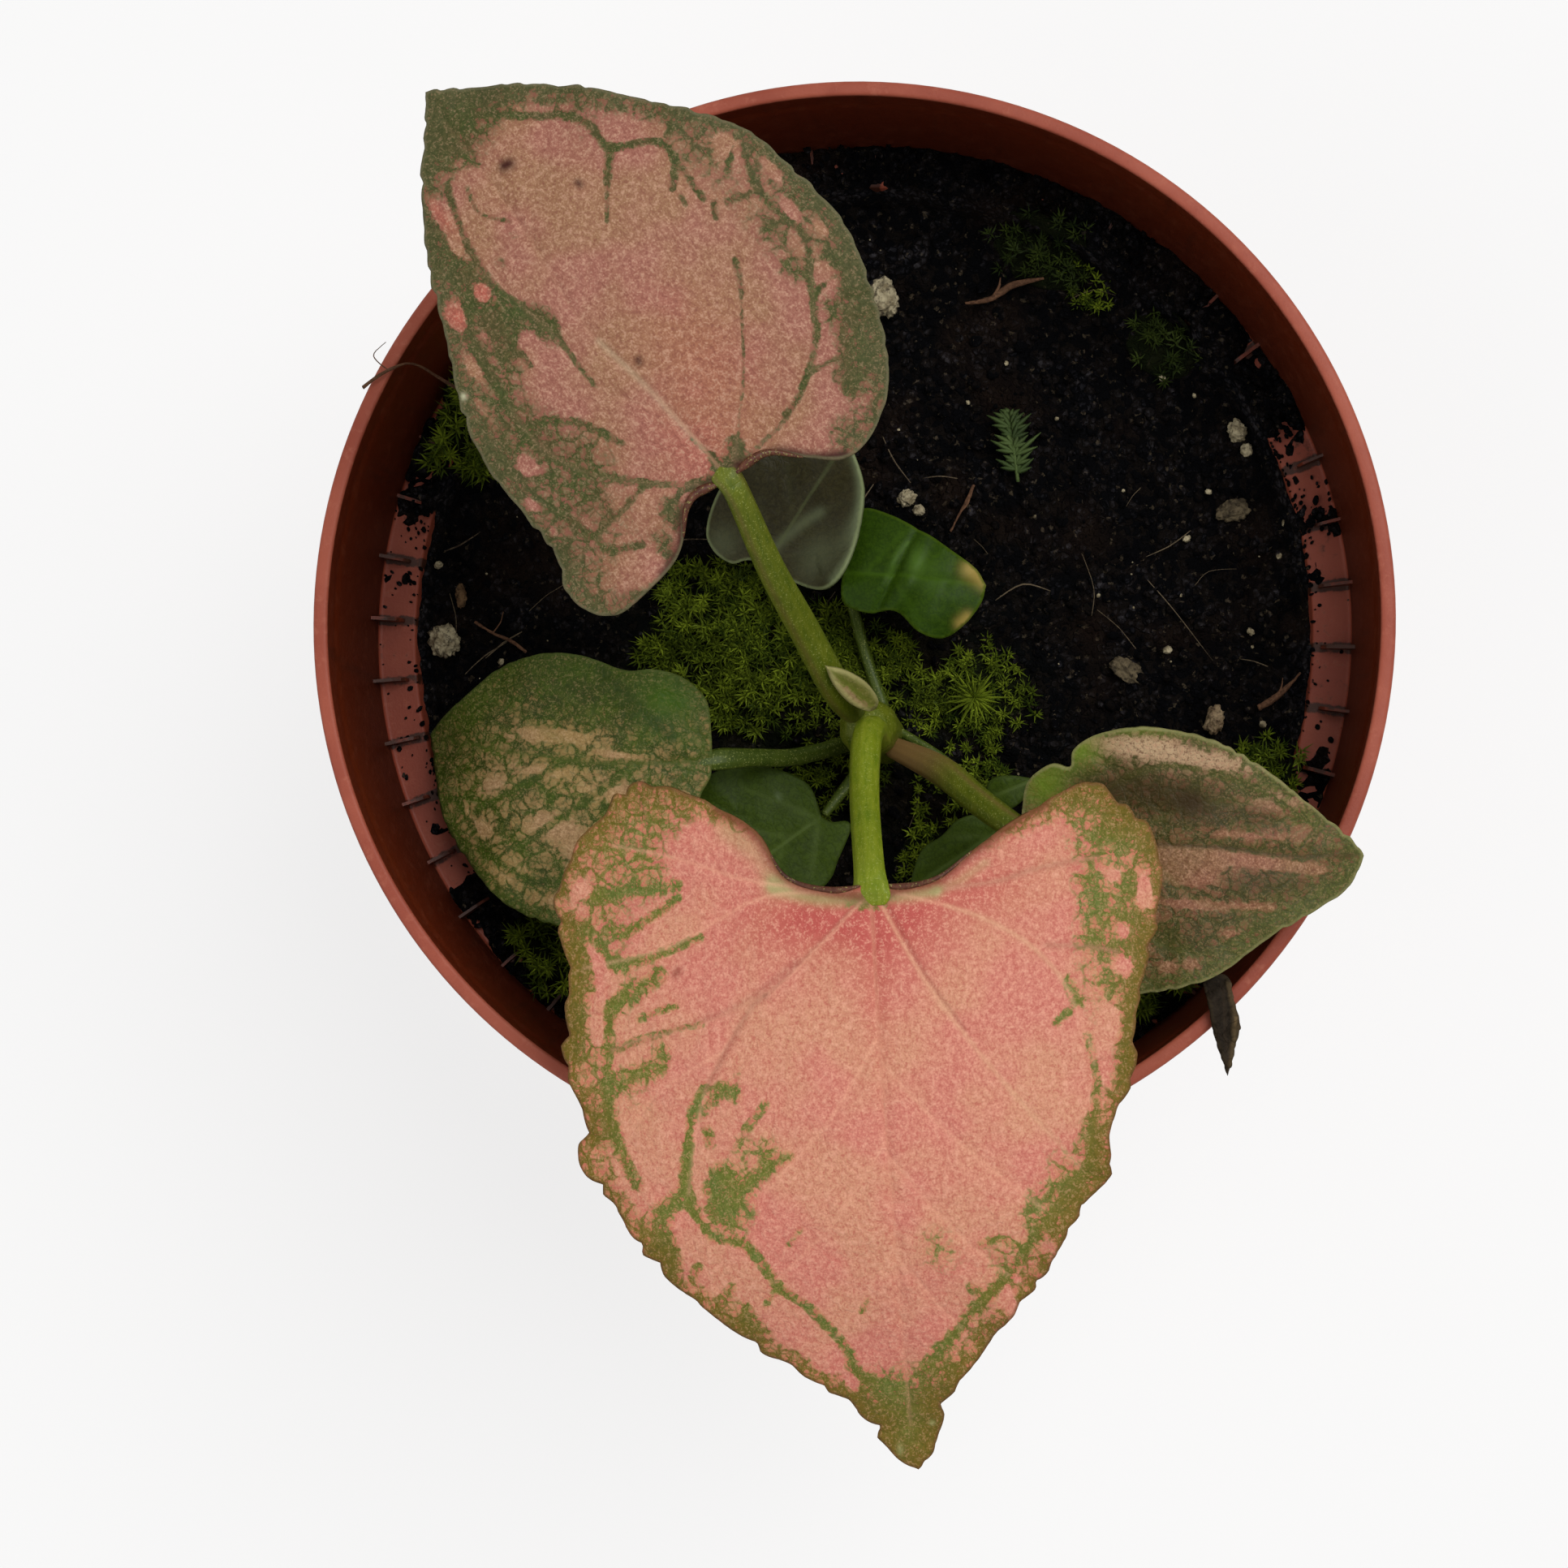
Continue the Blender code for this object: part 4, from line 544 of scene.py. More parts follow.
class Shader(Nodes):
    """A new material: the patterns that the surfaces below are made of."""

    def __init__(self, name, roughness=0.6, specular=0.5):
        self.material = bpy.data.materials.new(name)
        super().__init__(self.material)
        self.surface = self.tree.nodes["Principled BSDF"]
        self.set(roughness=roughness, specular_ior_level=specular)

    def set(self, **values):
        """Gives inputs of the surface, named in lower case, a value or a link."""
        for key, value in values.items():
            name = key.replace("_", " ").title().replace("Ior", "IOR")
            self.feed(self.surface.inputs[name], value)

    def painted(self, name):
        """The three values that are painted on the mesh under a name, as one."""
        return self.node("Attribute", {}, "Vector", attribute_name=name)

    def split(self, vector):
        return [self.node("SeparateXYZ", {0: vector}, axis) for axis in "XYZ"]

    def flat(self):
        """The blade's own plane, in millimetres."""
        return self.vector("MULTIPLY", self.painted("leaf"), (1.0, 1.0, 0.0))

    def place(self, stretch=(1.0, 1.0, 1.0)):
        """The object's own coordinates, in millimetres."""
        whole = self.node("TexCoord", {}, "Object")
        return self.vector("MULTIPLY", whole, tuple(value / MM for value in stretch))

    def noise(self, vector, scale, detail=3.0, roughness=0.55):
        return self.node("TexNoise", {"Vector": vector, "Scale": scale, "Detail": detail,
                                      "Roughness": roughness}, 0)

    def warped(self, vector, scale, amount):
        """The vector pushed about by noise."""
        push = self.node("TexNoise", {"Vector": vector, "Scale": scale, "Detail": 2.0}, 1)
        centred = self.vector("SUBTRACT", push, (0.5, 0.5, 0.5))
        return self.vector("ADD", vector, self.vector("MULTIPLY", centred, (amount, amount, amount)))

    def cells(self, vector, scale, output="Distance", feature="F1"):
        return self.node("TexVoronoi", {"Vector": vector, "Scale": scale}, output, feature=feature)

    def net(self, vector, scale, width):
        """1 on the edges of cells and 0 inside them."""
        return self.fall(self.cells(vector, scale, feature="DISTANCE_TO_EDGE"), 0.2 * width, width)

    def cell_tones(self, vector, scale):
        """A value of its own, 0 to 1, for each cell."""
        return self.split(self.cells(vector, scale, "Color"))[0]

    def layers(self, ground, *layers):
        """The ground colour with each (factor, colour) laid over it in turn."""
        for factor, colour in layers:
            ground = self.node("Mix", {0: factor, 6: ground, 7: colour}, 2, data_type="RGBA")
        return ground

    def finish(self, colour, height=None, distance=0.0001, strength=0.4):
        self.set(base_color=colour)
        if height is not None:
            bump = self.node("Bump", {"Strength": strength, "Distance": distance, "Height": height}, 0)
            self.set(normal=bump)
        return self.material

    def glow_inside(self, weight, reach):
        """A little light passes through the surface."""
        self.set(subsurface_weight=weight, subsurface_radius=reach)


class Pile:
    """Points and faces of many small shapes that become one mesh, with a tone for each shape."""

    def __init__(self):
        self.points = []
        self.faces = []
        self.tones = []

    def add(self, points, faces, tone=0.5):
        start = len(self.points)
        self.points.extend(points)
        self.faces.extend([tuple(start + index for index in face) for face in faces])
        self.tones.extend([(tone, 0.0, 0.0)] * len(points))

    def piece(self, name, material, slot, smooth=True):
        made = mesh_piece(name, self.points, self.faces, material, slot, smooth)
        paint(made, "tone", self.tones)
        return made


def mesh_object(name, points, faces):
    """A mesh in the scene from points in millimetres."""
    mesh = bpy.data.meshes.new(name)
    mesh.from_pydata((np.array(points) * MM).tolist(), [], faces)
    made = bpy.data.objects.new(name, mesh)
    bpy.context.scene.collection.objects.link(made)
    return made


def mesh_piece(name, points, faces, material, slot, smooth=True):
    """A visible piece that rides on the plant's only body."""
    made = mesh_object(name, points, faces)
    if smooth:
        made.data.shade_smooth()
    made.data.materials.append(material)
    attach(made, BODY)
    return made


def paint(piece, name, values):
    """Stores three numbers at each vertex under a name."""
    layer = piece.data.attributes.new(name, "FLOAT_VECTOR", "POINT")
    layer.data.foreach_set("vector", np.asarray(values, dtype=np.float32).ravel())


def ring_faces(start, sides, rings):
    """Quads between rings of points that follow each other from start."""
    return [(start + ring * sides + index, start + (ring + 1) * sides + index,
             start + (ring + 1) * sides + (index + 1) % sides, start + ring * sides + (index + 1) % sides)
            for ring in range(rings - 1) for index in range(sides)]


def turned_faces(steps, rings):
    """Faces of a turned shape whose points are one on the axis, the rings, and one on the axis."""
    last = 1 + (rings - 1) * steps
    return ([(0, 1 + index, 1 + (index + 1) % steps) for index in range(steps)] + ring_faces(1, steps, rings)
            + [(last + (index + 1) % steps, last + index, last + steps) for index in range(steps)])


def tube(route, radii, sides=16, section=None, steps=8):
    """Points and faces of a closed tube; a radius may be a pair (across, up), section shapes it by angle."""
    places = spline(route, steps)
    sizes = spline([radius if isinstance(radius, tuple) else (radius, radius) for radius in radii], steps)
    tangents = np.gradient(places, axis=0)
    tangents /= np.linalg.norm(tangents, axis=1)[:, None]
    side = np.cross(tangents[0], up(1.0))
    if np.linalg.norm(side) < 0.1:
        side = np.cross(tangents[0], (0.0, 1.0, 0.0))
    points = []
    for place, tangent, size in zip(places, tangents, sizes):
        side = unit(side - tangent * np.dot(side, tangent))
        rise = np.cross(side, tangent)
        for index in range(sides):
            angle = tau * index / sides
            factor = section(angle) if section else 1.0
            points.append(place + factor * (size[0] * cos(angle) * side + size[1] * sin(angle) * rise))
    faces = ring_faces(0, sides, len(places))
    first = len(points)
    points.append(places[0] - tangents[0] * sizes[0][1] * CAP_BULGE)
    points.append(places[-1] + tangents[-1] * sizes[-1][1] * CAP_BULGE)
    last = (len(places) - 1) * sides
    for index in range(sides):
        after = (index + 1) % sides
        faces.extend([(first, index, after), (first + 1, last + after, last + index)])
    return points, faces


def icosphere(level):
    bpy.ops.mesh.primitive_ico_sphere_add(subdivisions=level + 1, radius=1.0)
    shape = bpy.context.active_object
    points = [tuple(vert.co) for vert in shape.data.vertices]
    faces = [tuple(face.vertices) for face in shape.data.polygons]
    bpy.data.objects.remove(shape, do_unlink=True)
    return points, faces


ICOSPHERES = [icosphere(level) for level in range(4)]


def lump(centre, sizes, turn, seed, level, rough=1.0):
    """An uneven closed lump: level 0 has 20 faces and each further level four times as many."""
    points, faces = ICOSPHERES[level]
    made = []
    for x, y, z in points:
        swell = 1.0 + 0.22 * noise.noise(Vector((x * 1.4 + seed, y * 1.4, z * 1.4)))
        swell += rough * 0.14 * noise.noise(Vector((x * 3.6, y * 3.6 + seed, z * 3.6)))
        swell += rough * 0.05 * noise.noise(Vector((x * 9.0 + seed, y * 9.0, z * 9.0)))
        made.append((*placed(centre, turn, x * sizes[0] * swell, y * sizes[1] * swell),
                     centre[2] + z * sizes[2] * swell))
    return made, faces


# ---- materials ----
def leaf_material(name, look):
    """Leaf surface: a grainy ground and green markings that break up into cells at their edges."""
    made = Shader(name, specular=look["sheen"])
    flat = made.flat()
    grain = made.sum(made.times(made.noise(flat, 2.2, 4.0, 0.74), 0.58),
                     made.times(made.noise(flat, 6.0, 2.0), 0.42))
    cloud = made.noise(flat, 1.1, 5.0, 0.72)
    net = made.net(made.warped(flat, 0.5, 1.3), 0.62, 0.13)
    fine_net = made.net(made.warped(flat, 1.2, 0.6), 1.5, 0.17)
    green, vein, blush = made.split(made.painted("marks"))
    pale, tone, rust = made.split(made.painted("tints"))
    offset, along, _ = made.split(made.painted("rib"))
    margin = made.split(made.painted("leaf"))[2]
    zone = made.rise(green, 0.04, 0.45)
    ragged = made.sum(made.swing(cloud, 2.2), made.swing(grain, 3.2), made.times(net, 0.5),
                      made.times(fine_net, 0.28), -0.24)
    high_grain = made.rise(grain, 0.49, 0.61)
    low_grain = made.fall(grain, 0.38, 0.51)
    cover = made.sum(0.97, made.times(high_grain, -0.28))
    mask = made.times(made.rise(made.sum(green, made.times(ragged, zone)), 0.22, 0.90), cover)
    halo = made.rise(made.sum(green, made.times(made.swing(cloud, 1.6), zone)), 0.08, 0.55)
    ground = made.layers(
        look["ground"], (made.rise(made.noise(flat, 0.13, 2.0), 0.38, 0.62), look["tan"]),
        (made.times(halo, look["halo_mix"]), look["halo"]), (blush, look["blush"]),
        (made.patches(cloud, 0.45, 0.72, 0.3), look["light"]),
        (made.times(made.fall(cloud, 0.28, 0.50), 0.35), look["dark"]),
        (made.times(high_grain, look["speckle"]), look["light"]),
        (made.times(low_grain, look["speckle"]), look["dark"]), (made.times(fine_net, 0.14), look["dark"]))
    leafy = made.layers(
        look["green"], (made.rise(made.noise(flat, 0.35, 4.0), 0.4, 0.62), look["second_green"]),
        (tone, look["margin_green"]), (made.times(fine_net, 0.35), look["net_green"]),
        (made.times(low_grain, 0.45), look["net_green"]),
        (made.times(high_grain, 0.28), look["light_green"]))
    midrib = made.times(made.fall(made.math("ABSOLUTE", offset), 0.06, 0.26), along)
    # pale also lays painted highlights, and the brown marks painted shade in folds, where a blade's spec
    # puts them.
    whole = made.layers(
        ground, (mask, leafy), (made.times(pale, 0.8), look["pale"]),
        (made.times(vein, look["vein_mix"]), look["vein"]), (made.times(midrib, 0.55), look["midrib"]),
        (rust, look["rust"]), (made.times(made.fall(margin, 0.06, 0.34), 0.7), look["edge"]))
    made.set(roughness=made.sum(made.times(grain, 0.3), look["gloss"] - 0.14))
    relief = made.sum(grain, made.times(cloud, 0.8), made.times(fine_net, -0.35), made.times(net, -0.4))
    return made.finish(whole, relief, 0.00012, look["relief"])


def underside_material(name, ground, second, vein_colour):
    """The back of a blade: paler and more even, with its veins standing out."""
    made = Shader(name, 0.6)
    flat = made.flat()
    net = made.net(made.warped(flat, 0.6, 1.2), 0.8, 0.14)
    grain = made.noise(flat, 4.0, 3.0)
    vein = made.split(made.painted("marks"))[1]
    whole = made.layers(ground, (made.rise(made.noise(flat, 0.35, 4.0), 0.3, 0.7), second),
                        (made.times(net, 0.4), vein_colour), (vein, vein_colour),
                        (made.patches(grain, 0.5, 0.7, 0.25), vein_colour))
    return made.finish(whole, made.sum(net, grain))


def stalk_material(name, main, light, shade):
    """A petiole: long fibres, lighter patches, fine pores and a brown line where the tone says so."""
    made = Shader(name, 0.42, 0.18)
    place = made.place()
    fibre = made.noise(made.place((1.5, 0.3, 0.3)), 2.6, 4.0, 0.6)
    pore = made.noise(place, 6.0, 2.0, 0.6)
    ridge, brown, red = made.split(made.painted("tone"))
    whole = made.layers(
        main, (made.rise(fibre, 0.35, 0.65), light),
        (made.patches(made.noise(place, 0.45), 0.48, 0.68, 0.7), shade),
        (made.times(ridge, 0.5), light), (made.patches(pore, 0.58, 0.68, 0.4), (186, 190, 110)),
        (brown, (128, 96, 60)), (red, (74, 30, 22)))
    made.glow_inside(0.08, (0.001, 0.001, 0.0004))
    return made.finish(whole, made.sum(fibre, made.times(pore, 0.5)), 0.0001, 0.3)


def pot_material():
    """Moulded terracotta-coloured plastic: scuffs outside; inside, a darker colour as painted shade, and
    peat stains mixed with painted shade.
    """
    made = Shader("pot_plastic", specular=0.2)
    place = made.place()
    blotch = made.noise(place, 0.09, 5.0, 0.6)
    scuff = made.noise(place, 0.9, 6.0, 0.7)
    drip = made.noise(made.place((1.0, 1.0, 0.12)), 0.5, 4.0, 0.6)
    # tone: peat dirt mixed with painted shade, the inner face, and the depth below the lip.
    dirt_and_shade, inside, depth = made.split(made.painted("tone"))
    outer = made.layers((152, 74, 56), (made.rise(blotch, 0.38, 0.62), (166, 86, 66)),
                        (made.patches(scuff, 0.52, 0.72, 0.45), (186, 112, 90)))
    # The inside is a darker colour than the outside, as painted shade, and darker still with depth below the
    # lip.
    inner = made.layers((92, 31, 8), (depth, (58, 18, 4)),
                        (made.patches(scuff, 0.5, 0.72, 0.35), (112, 56, 36)),
                        (made.patches(drip, 0.55, 0.75, 0.4), (46, 20, 10)))
    x, y, _ = made.split(place)
    turn = made.times(made.math("ARCTAN2", y, x), RIB_COUNT)
    wave = made.math("COSINE", made.math("SUBTRACT", turn, tau * RIB_PHASE))
    # Painted rib shadow: the ledge darkens beside each rib, and this joins the peat dirt and painted shade
    # in the stain.
    on_ledge = made.times(made.rise(inside, 0.3, 0.4), made.fall(inside, 0.5, 0.6))
    corner = made.times(made.times(made.rise(wave, 0.72, 0.98), on_ledge), 0.6)
    stain = made.rise(made.sum(dirt_and_shade, made.swing(scuff, 1.6), corner), 0.45, 0.8)
    made.set(roughness=made.sum(made.times(scuff, 0.25), 0.36))
    whole = made.layers(outer, (inside, inner), (stain, (58, 29, 17)))
    return made.finish(whole, made.sum(scuff, made.noise(place, 5.0, 3.0)), 0.00008, 0.25)


def soil_material():
    """Damp peat: near black clods and grains, each with its own tone, and a few brown and pale bits."""
    made = Shader("peat", 0.9, 0.05)
    place = made.place()
    rough = made.noise(place, 1.5, 6.0, 0.72)
    uneven = made.warped(place, 2.0, 0.5)
    clods = made.cell_tones(uneven, 1.5)
    grains = made.cell_tones(made.warped(place, 1.0, 0.9), 2.9)
    cracks = made.net(uneven, 1.5, 0.22)
    tone, brown, moss = made.split(made.painted("tone"))
    # lit: the clods' own tones with painted light, lighter where the soil is raised and darker in the cracks
    # between clods.
    lit = made.sum(made.times(clods, 0.4), made.times(grains, 0.26), made.swing(rough, 1.4),
                   made.swing(tone, 0.55), made.times(cracks, -0.25))
    flecks = made.times(made.rise(grains, 0.95, 0.96), made.rise(rough, 0.45, 0.6))
    # The lightest clods, (68, 65, 68), are partly painted highlights.
    whole = made.layers(
        (5, 5, 7), (made.rise(lit, 0.24, 0.66), (38, 37, 41)),
        (made.patches(clods, 0.55, 0.6, 0.35), (34, 27, 21)),
        (made.patches(lit, 0.54, 0.84, 0.8), (68, 65, 68)), (made.times(flecks, 0.6), (96, 84, 66)),
        (brown, (50, 35, 25)), (moss, (32, 40, 14)))
    relief = made.sum(rough, made.times(grains, 0.5), made.times(cracks, -0.6))
    return made.finish(whole, relief, 0.0005, 1.0)


def grain_material(name, light, dark, stain):
    """Perlite, pebble or bark: pitted and dusty, dirty in its hollows."""
    made = Shader(name, 0.85, 0.12)
    place = made.place()
    pits = made.cells(place, 3.0)
    cloud = made.noise(place, 1.0, 5.0, 0.65)
    whole = made.layers(dark, (made.rise(cloud, 0.35, 0.62), light),
                        (made.times(made.fall(pits, 0.1, 0.35), 0.45), dark),
                        (made.patches(made.noise(place, 2.2, 4.0, 0.65), 0.5, 0.66, 0.75), stain))
    return made.finish(whole, made.sum(pits, cloud), 0.0002, 0.6)


def bark_material(name, light, dark):
    """Twigs and roots: long dry fibres."""
    made = Shader(name, 0.85, 0.15)
    place = made.place()
    fibre = made.noise(place, 3.2, 5.0, 0.7)
    tone = made.split(made.painted("tone"))[0]
    whole = made.layers(dark, (made.rise(fibre, 0.4, 0.62), light),
                        (made.patches(made.noise(place, 0.8), 0.5, 0.7, 0.6), dark),
                        (made.times(tone, 0.8), light))
    return made.finish(whole, fibre, 0.00015, 0.5)


def moss_material(name, light, dark, shade):
    """Moss leaves: each shoot has its own tone, yellower at the tips."""
    made = Shader(name, 0.65, 0.15)
    place = made.place()
    whole = made.layers(dark, (made.split(made.painted("tone"))[0], light),
                        (made.patches(made.noise(place, 0.5), 0.42, 0.66, 0.55), shade))
    made.glow_inside(0.05, (0.0004, 0.0006, 0.0002))
    return made.finish(whole, made.noise(place, 6.0, 2.0), 0.00005, 0.3)


# ---- leaves ----
def blade_surface(spec, plan):
    """Places in millimetres of plan points s, t on a blade's middle surface."""
    s, t = plan.T
    curve = spline(spec["ridge"], 8)
    height = np.interp(s, *curve.T) + np.where(t > 0, *spec["cup"]) * t ** 2
    return np.stack([*placed(spec["base"], radians(spec["heading"]), s, t), height], axis=1)


def toothed(curve, teeth, forward):
    """A half edge with teeth that point to the tip; forward is 1 or -1 for the outward side."""
    travelled = travel(curve)
    along = np.gradient(curve, axis=0)
    outward = forward * np.stack([along[:, 1], -along[:, 0]], axis=1)
    outward /= np.linalg.norm(outward, axis=1)[:, None]
    depth, pitch = teeth
    uneven = 0.75 + 0.45 * np.sin(travelled * 0.61) + 0.3 * np.sin(travelled * 1.33 + 1.0)
    phase = (travelled / pitch + 0.35 * np.sin(travelled * 0.31) + 0.15 * np.sin(travelled * 1.1)) % 1.0
    tooth = np.where(phase < 0.72, (phase / 0.72) ** 1.8, (1.0 - phase) / 0.28) - 0.4
    fade = np.clip((travelled - 12.0) / 8.0, 0.0, 1.0)
    return curve + outward * (depth * tooth * uneven * fade)[:, None]


def blade_outline(spec, count):
    """The edge with its teeth, from the notch over the right side to the tip and back on the left."""
    halves = []
    for side, teeth, forward in zip(("left", "right"), spec["teeth"], (1.0, -1.0)):
        curve = spline([spec["notch"], *spec[side], spec["tip"]], 10)
        halves.append(toothed(resample(curve, count // 2 + 1), teeth, forward))
    return np.concatenate([halves[1], halves[0][::-1][1:-1]])


def blade_lift(spec, plan, margin, station, vein_gap):
    """Waves at the edge, veins pressed in and the quilting between them."""
    swing, length = spec["wave"]
    calm = np.clip(np.linalg.norm(plan - np.array(spec["notch"]), axis=1) / 8.0, 0.0, 1.0)
    ripple = np.sin(tau * station / length + 1.5 * np.sin(station * 0.11))
    lift = swing * calm * np.exp(-margin / 2.2) * ripple
    lift += spec["quilt"] * (0.2 * (1.0 - np.exp(-vein_gap / 1.3)) - 0.04 * np.exp(-(vein_gap / 0.35) ** 2))
    lift -= 0.1 * np.exp(-(line_gap(spec["veins"][0], plan) / 0.5) ** 2)
    return lift + 0.2 * calm * wobble(plan, 6.0, 0.0) + 0.05 * wobble(plan, 1.3, 9.0)


def leaf_grid(loop, gap):
    """An even grid of points inside a closed outline, clear of its edge."""
    low, high = loop.min(axis=0), loop.max(axis=0)
    rows = np.arange(low[1], high[1], gap * 0.866)
    s, t = np.meshgrid(np.arange(low[0], high[0], gap), rows)
    s = s + 0.5 * gap * (np.arange(len(rows)) % 2)[:, None]
    grid = np.stack([s.ravel(), t.ravel()], axis=1)
    inside = np.zeros(len(grid), dtype=bool)
    for start, end in zip(loop, np.roll(loop, -1, axis=0)):
        spans = (start[1] > grid[:, 1]) != (end[1] > grid[:, 1])
        rise = end[1] - start[1] if end[1] != start[1] else 1.0
        inside ^= spans & (grid[:, 0] < start[0] + (end[0] - start[0]) * (grid[:, 1] - start[1]) / rise)
    grid = grid[inside]
    return grid[near_edge(loop, grid)[0] > 0.6 * gap]


def leaf_mesh(loop, gap):
    """Plan points and triangles that fill the outline evenly."""
    places = np.concatenate([loop, leaf_grid(loop, gap)])
    edges = [(index, (index + 1) % len(loop)) for index in range(len(loop))]
    found = delaunay_2d_cdt([Vector(place) for place in places], edges, [], 1, 1e-6)
    return np.array([tuple(point) for point in found[0]]), [tuple(face) for face in found[2]]


def near_edge(loop, plan):
    """Distance to the edge and the nearest edge point's number for each plan point."""
    tree = kdtree.KDTree(len(loop))
    for index, (s, t) in enumerate(loop):
        tree.insert((s, t, 0.0), index)
    tree.balance()
    near = [tree.find((s, t, 0.0)) for s, t in plan]
    return np.array([item[2] for item in near]), [item[1] for item in near]


def nearest_vein(spec, plan):
    return np.min([line_gap(vein, plan) for vein in spec["veins"]], axis=0)


def paint_blade(blade, spec, plan, margin, vein_gap):
    """The marks that the leaf material reads."""
    notch_gap = np.linalg.norm(plan - np.array(spec["notch"]), axis=1)
    strength, width = spec["band"]
    band = strength * np.clip((notch_gap - 7.0) / 7.0, 0.0, 1.0) * np.exp(-(margin / width) ** 2)
    lines = [(reach * spec["line_width"], tone, points) for reach, tone, points in spec["green_lines"]]
    green = spec["base_green"] + band + soft_spots(spec["green"], plan) + line_marks(lines, plan)
    vein = np.exp(-(vein_gap / spec["vein_reach"]) ** 2) * np.exp(-notch_gap / 36.0)
    blush = np.clip(soft_spots(spec["blush"], plan), 0.0, 1.0)
    pale = np.clip(soft_spots(spec["pale"], plan) + line_marks(spec["pale_lines"], plan), 0.0, 1.0)
    rust = np.clip(line_marks(spec["rust_lines"], plan), 0.0, 1.0)
    s, t = plan.T
    offset = t - np.interp(s, *spline(spec["veins"][0], 6).T)
    along = np.clip((s - 0.3) / 1.5, 0.0, 1.0) * np.exp(-s / spec["midrib_reach"])
    edge = np.exp(-(margin / 2.2) ** 2)
    for name, *values in (("leaf", s, t, margin), ("marks", np.clip(green, 0.0, 1.6), vein, blush),
                          ("tints", pale, edge, rust), ("rib", offset, along, along)):
        paint(blade, name, np.stack(values, axis=1))


def blade_places(spec, plan, margin, station, vein_gap):
    """Places of plan points on the finished blade, with its waves and folds."""
    places = blade_surface(spec, plan)
    places[:, 2] += blade_lift(spec, plan, margin, station, vein_gap)
    if "fold" in spec:
        places[:, 2] += spec["fold"](plan)
    return places


def add_blade(name, spec, node, top, under, slot):
    """A fine leaf blade with teeth, waves, pressed veins and painted marks; gives its edge."""
    length = spec["tip"][0] - spec["notch"][0]
    loop = blade_outline(spec, int(length * 3.2 / spec["gap"]) // 2 * 2)
    travelled = travel(loop)
    plan, faces = leaf_mesh(loop, spec["gap"])
    margin, nearest = near_edge(loop, plan)
    vein_gap = nearest_vein(spec, plan)
    places = blade_places(spec, plan, margin, travelled[nearest], vein_gap)
    blade = mesh_piece(name, places, faces, top, slot)
    blade.data.materials.append(under)
    paint_blade(blade, spec, plan, margin, vein_gap)
    solid = blade.modifiers.new("thickness", "SOLIDIFY")
    solid.thickness = BLADE_THICKNESS * MM
    solid.offset = 0.0
    solid.material_offset = 1
    solid.material_offset_rim = 0
    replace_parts(blade, node)
    return blade_places(spec, loop, np.zeros(len(loop)), travelled, nearest_vein(spec, loop))


def add_edge_roll(name, edge, side, length, radii, material):
    """A rolled rim along the notch of a blade, from its middle out over one side."""
    run = edge if side == "right" else np.concatenate([edge[:1], edge[:0:-1]])
    travelled = travel(run)
    route = resample(run[(travelled > 0.7) & (travelled < length)], 14)
    route[:, 2] += 0.12
    sizes = np.interp(np.linspace(0.0, 1.0, len(route)), np.linspace(0.0, 1.0, len(radii)), radii)
    points, faces = tube(route, sizes, sides=10, steps=2)
    paint(mesh_piece(name, points, faces, material, "green_stalk"), "tone", np.zeros((len(points), 3)))


def from_top(angle):
    """An angle round a stalk, measured from its upper side."""
    return atan2(sin(angle - pi / 2), cos(angle - pi / 2))


def ribbed(groove):
    """A section with fine ridges and a channel along its upper side."""
    return lambda angle: (1.0 + RIDGE_DEPTH * cos(STALK_RIDGES * angle)
                          - groove * exp(-(from_top(angle) / 0.6) ** 2))


def add_stalk(stem, node, route, radii, material, groove=0.1, brown=0.0, red=0.0, husk=0.0,
              sides=36, steps=14):
    """A ridged petiole: a brown line right, a red one left near the leaf and a brown husk at its start."""
    points, faces = tube(route, radii, sides=sides, section=ribbed(groove), steps=steps)
    made = mesh_piece(stem + "_fine", points, faces, material, "green_stalk")
    tones = np.zeros((len(points), 3))
    rings = (len(points) - 2) // sides
    for index in range(len(points) - 2):
        angle = tau * (index % sides) / sides
        share = (index // sides) / rings
        off = from_top(angle)
        dry = 0.9 * exp(-((share / husk) ** 4)) if husk else 0.0
        line = brown * exp(-((off - 0.85) / 0.2) ** 2)
        tones[index] = (0.5 + 0.5 * cos(STALK_RIDGES * angle), max(dry, line),
                        red * exp(-((off + 1.1) / 0.35) ** 2) * max(0.0, share - 0.45) / 0.55)
    paint(made, "tone", tones)
    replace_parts(made, node)


# ---- pot ----
def rounded(start, corner, end, radius, count=5):
    """Points that round the corner between two straight edges of a profile."""
    start, corner, end = (np.array(point, dtype=float) for point in (start, corner, end))
    first = corner + unit(start - corner) * radius
    last = corner + unit(end - corner) * radius
    shares = np.arange(count) / (count - 1)
    return [(1 - u) ** 2 * first + 2 * u * (1 - u) * corner + u ** 2 * last for u in shares]


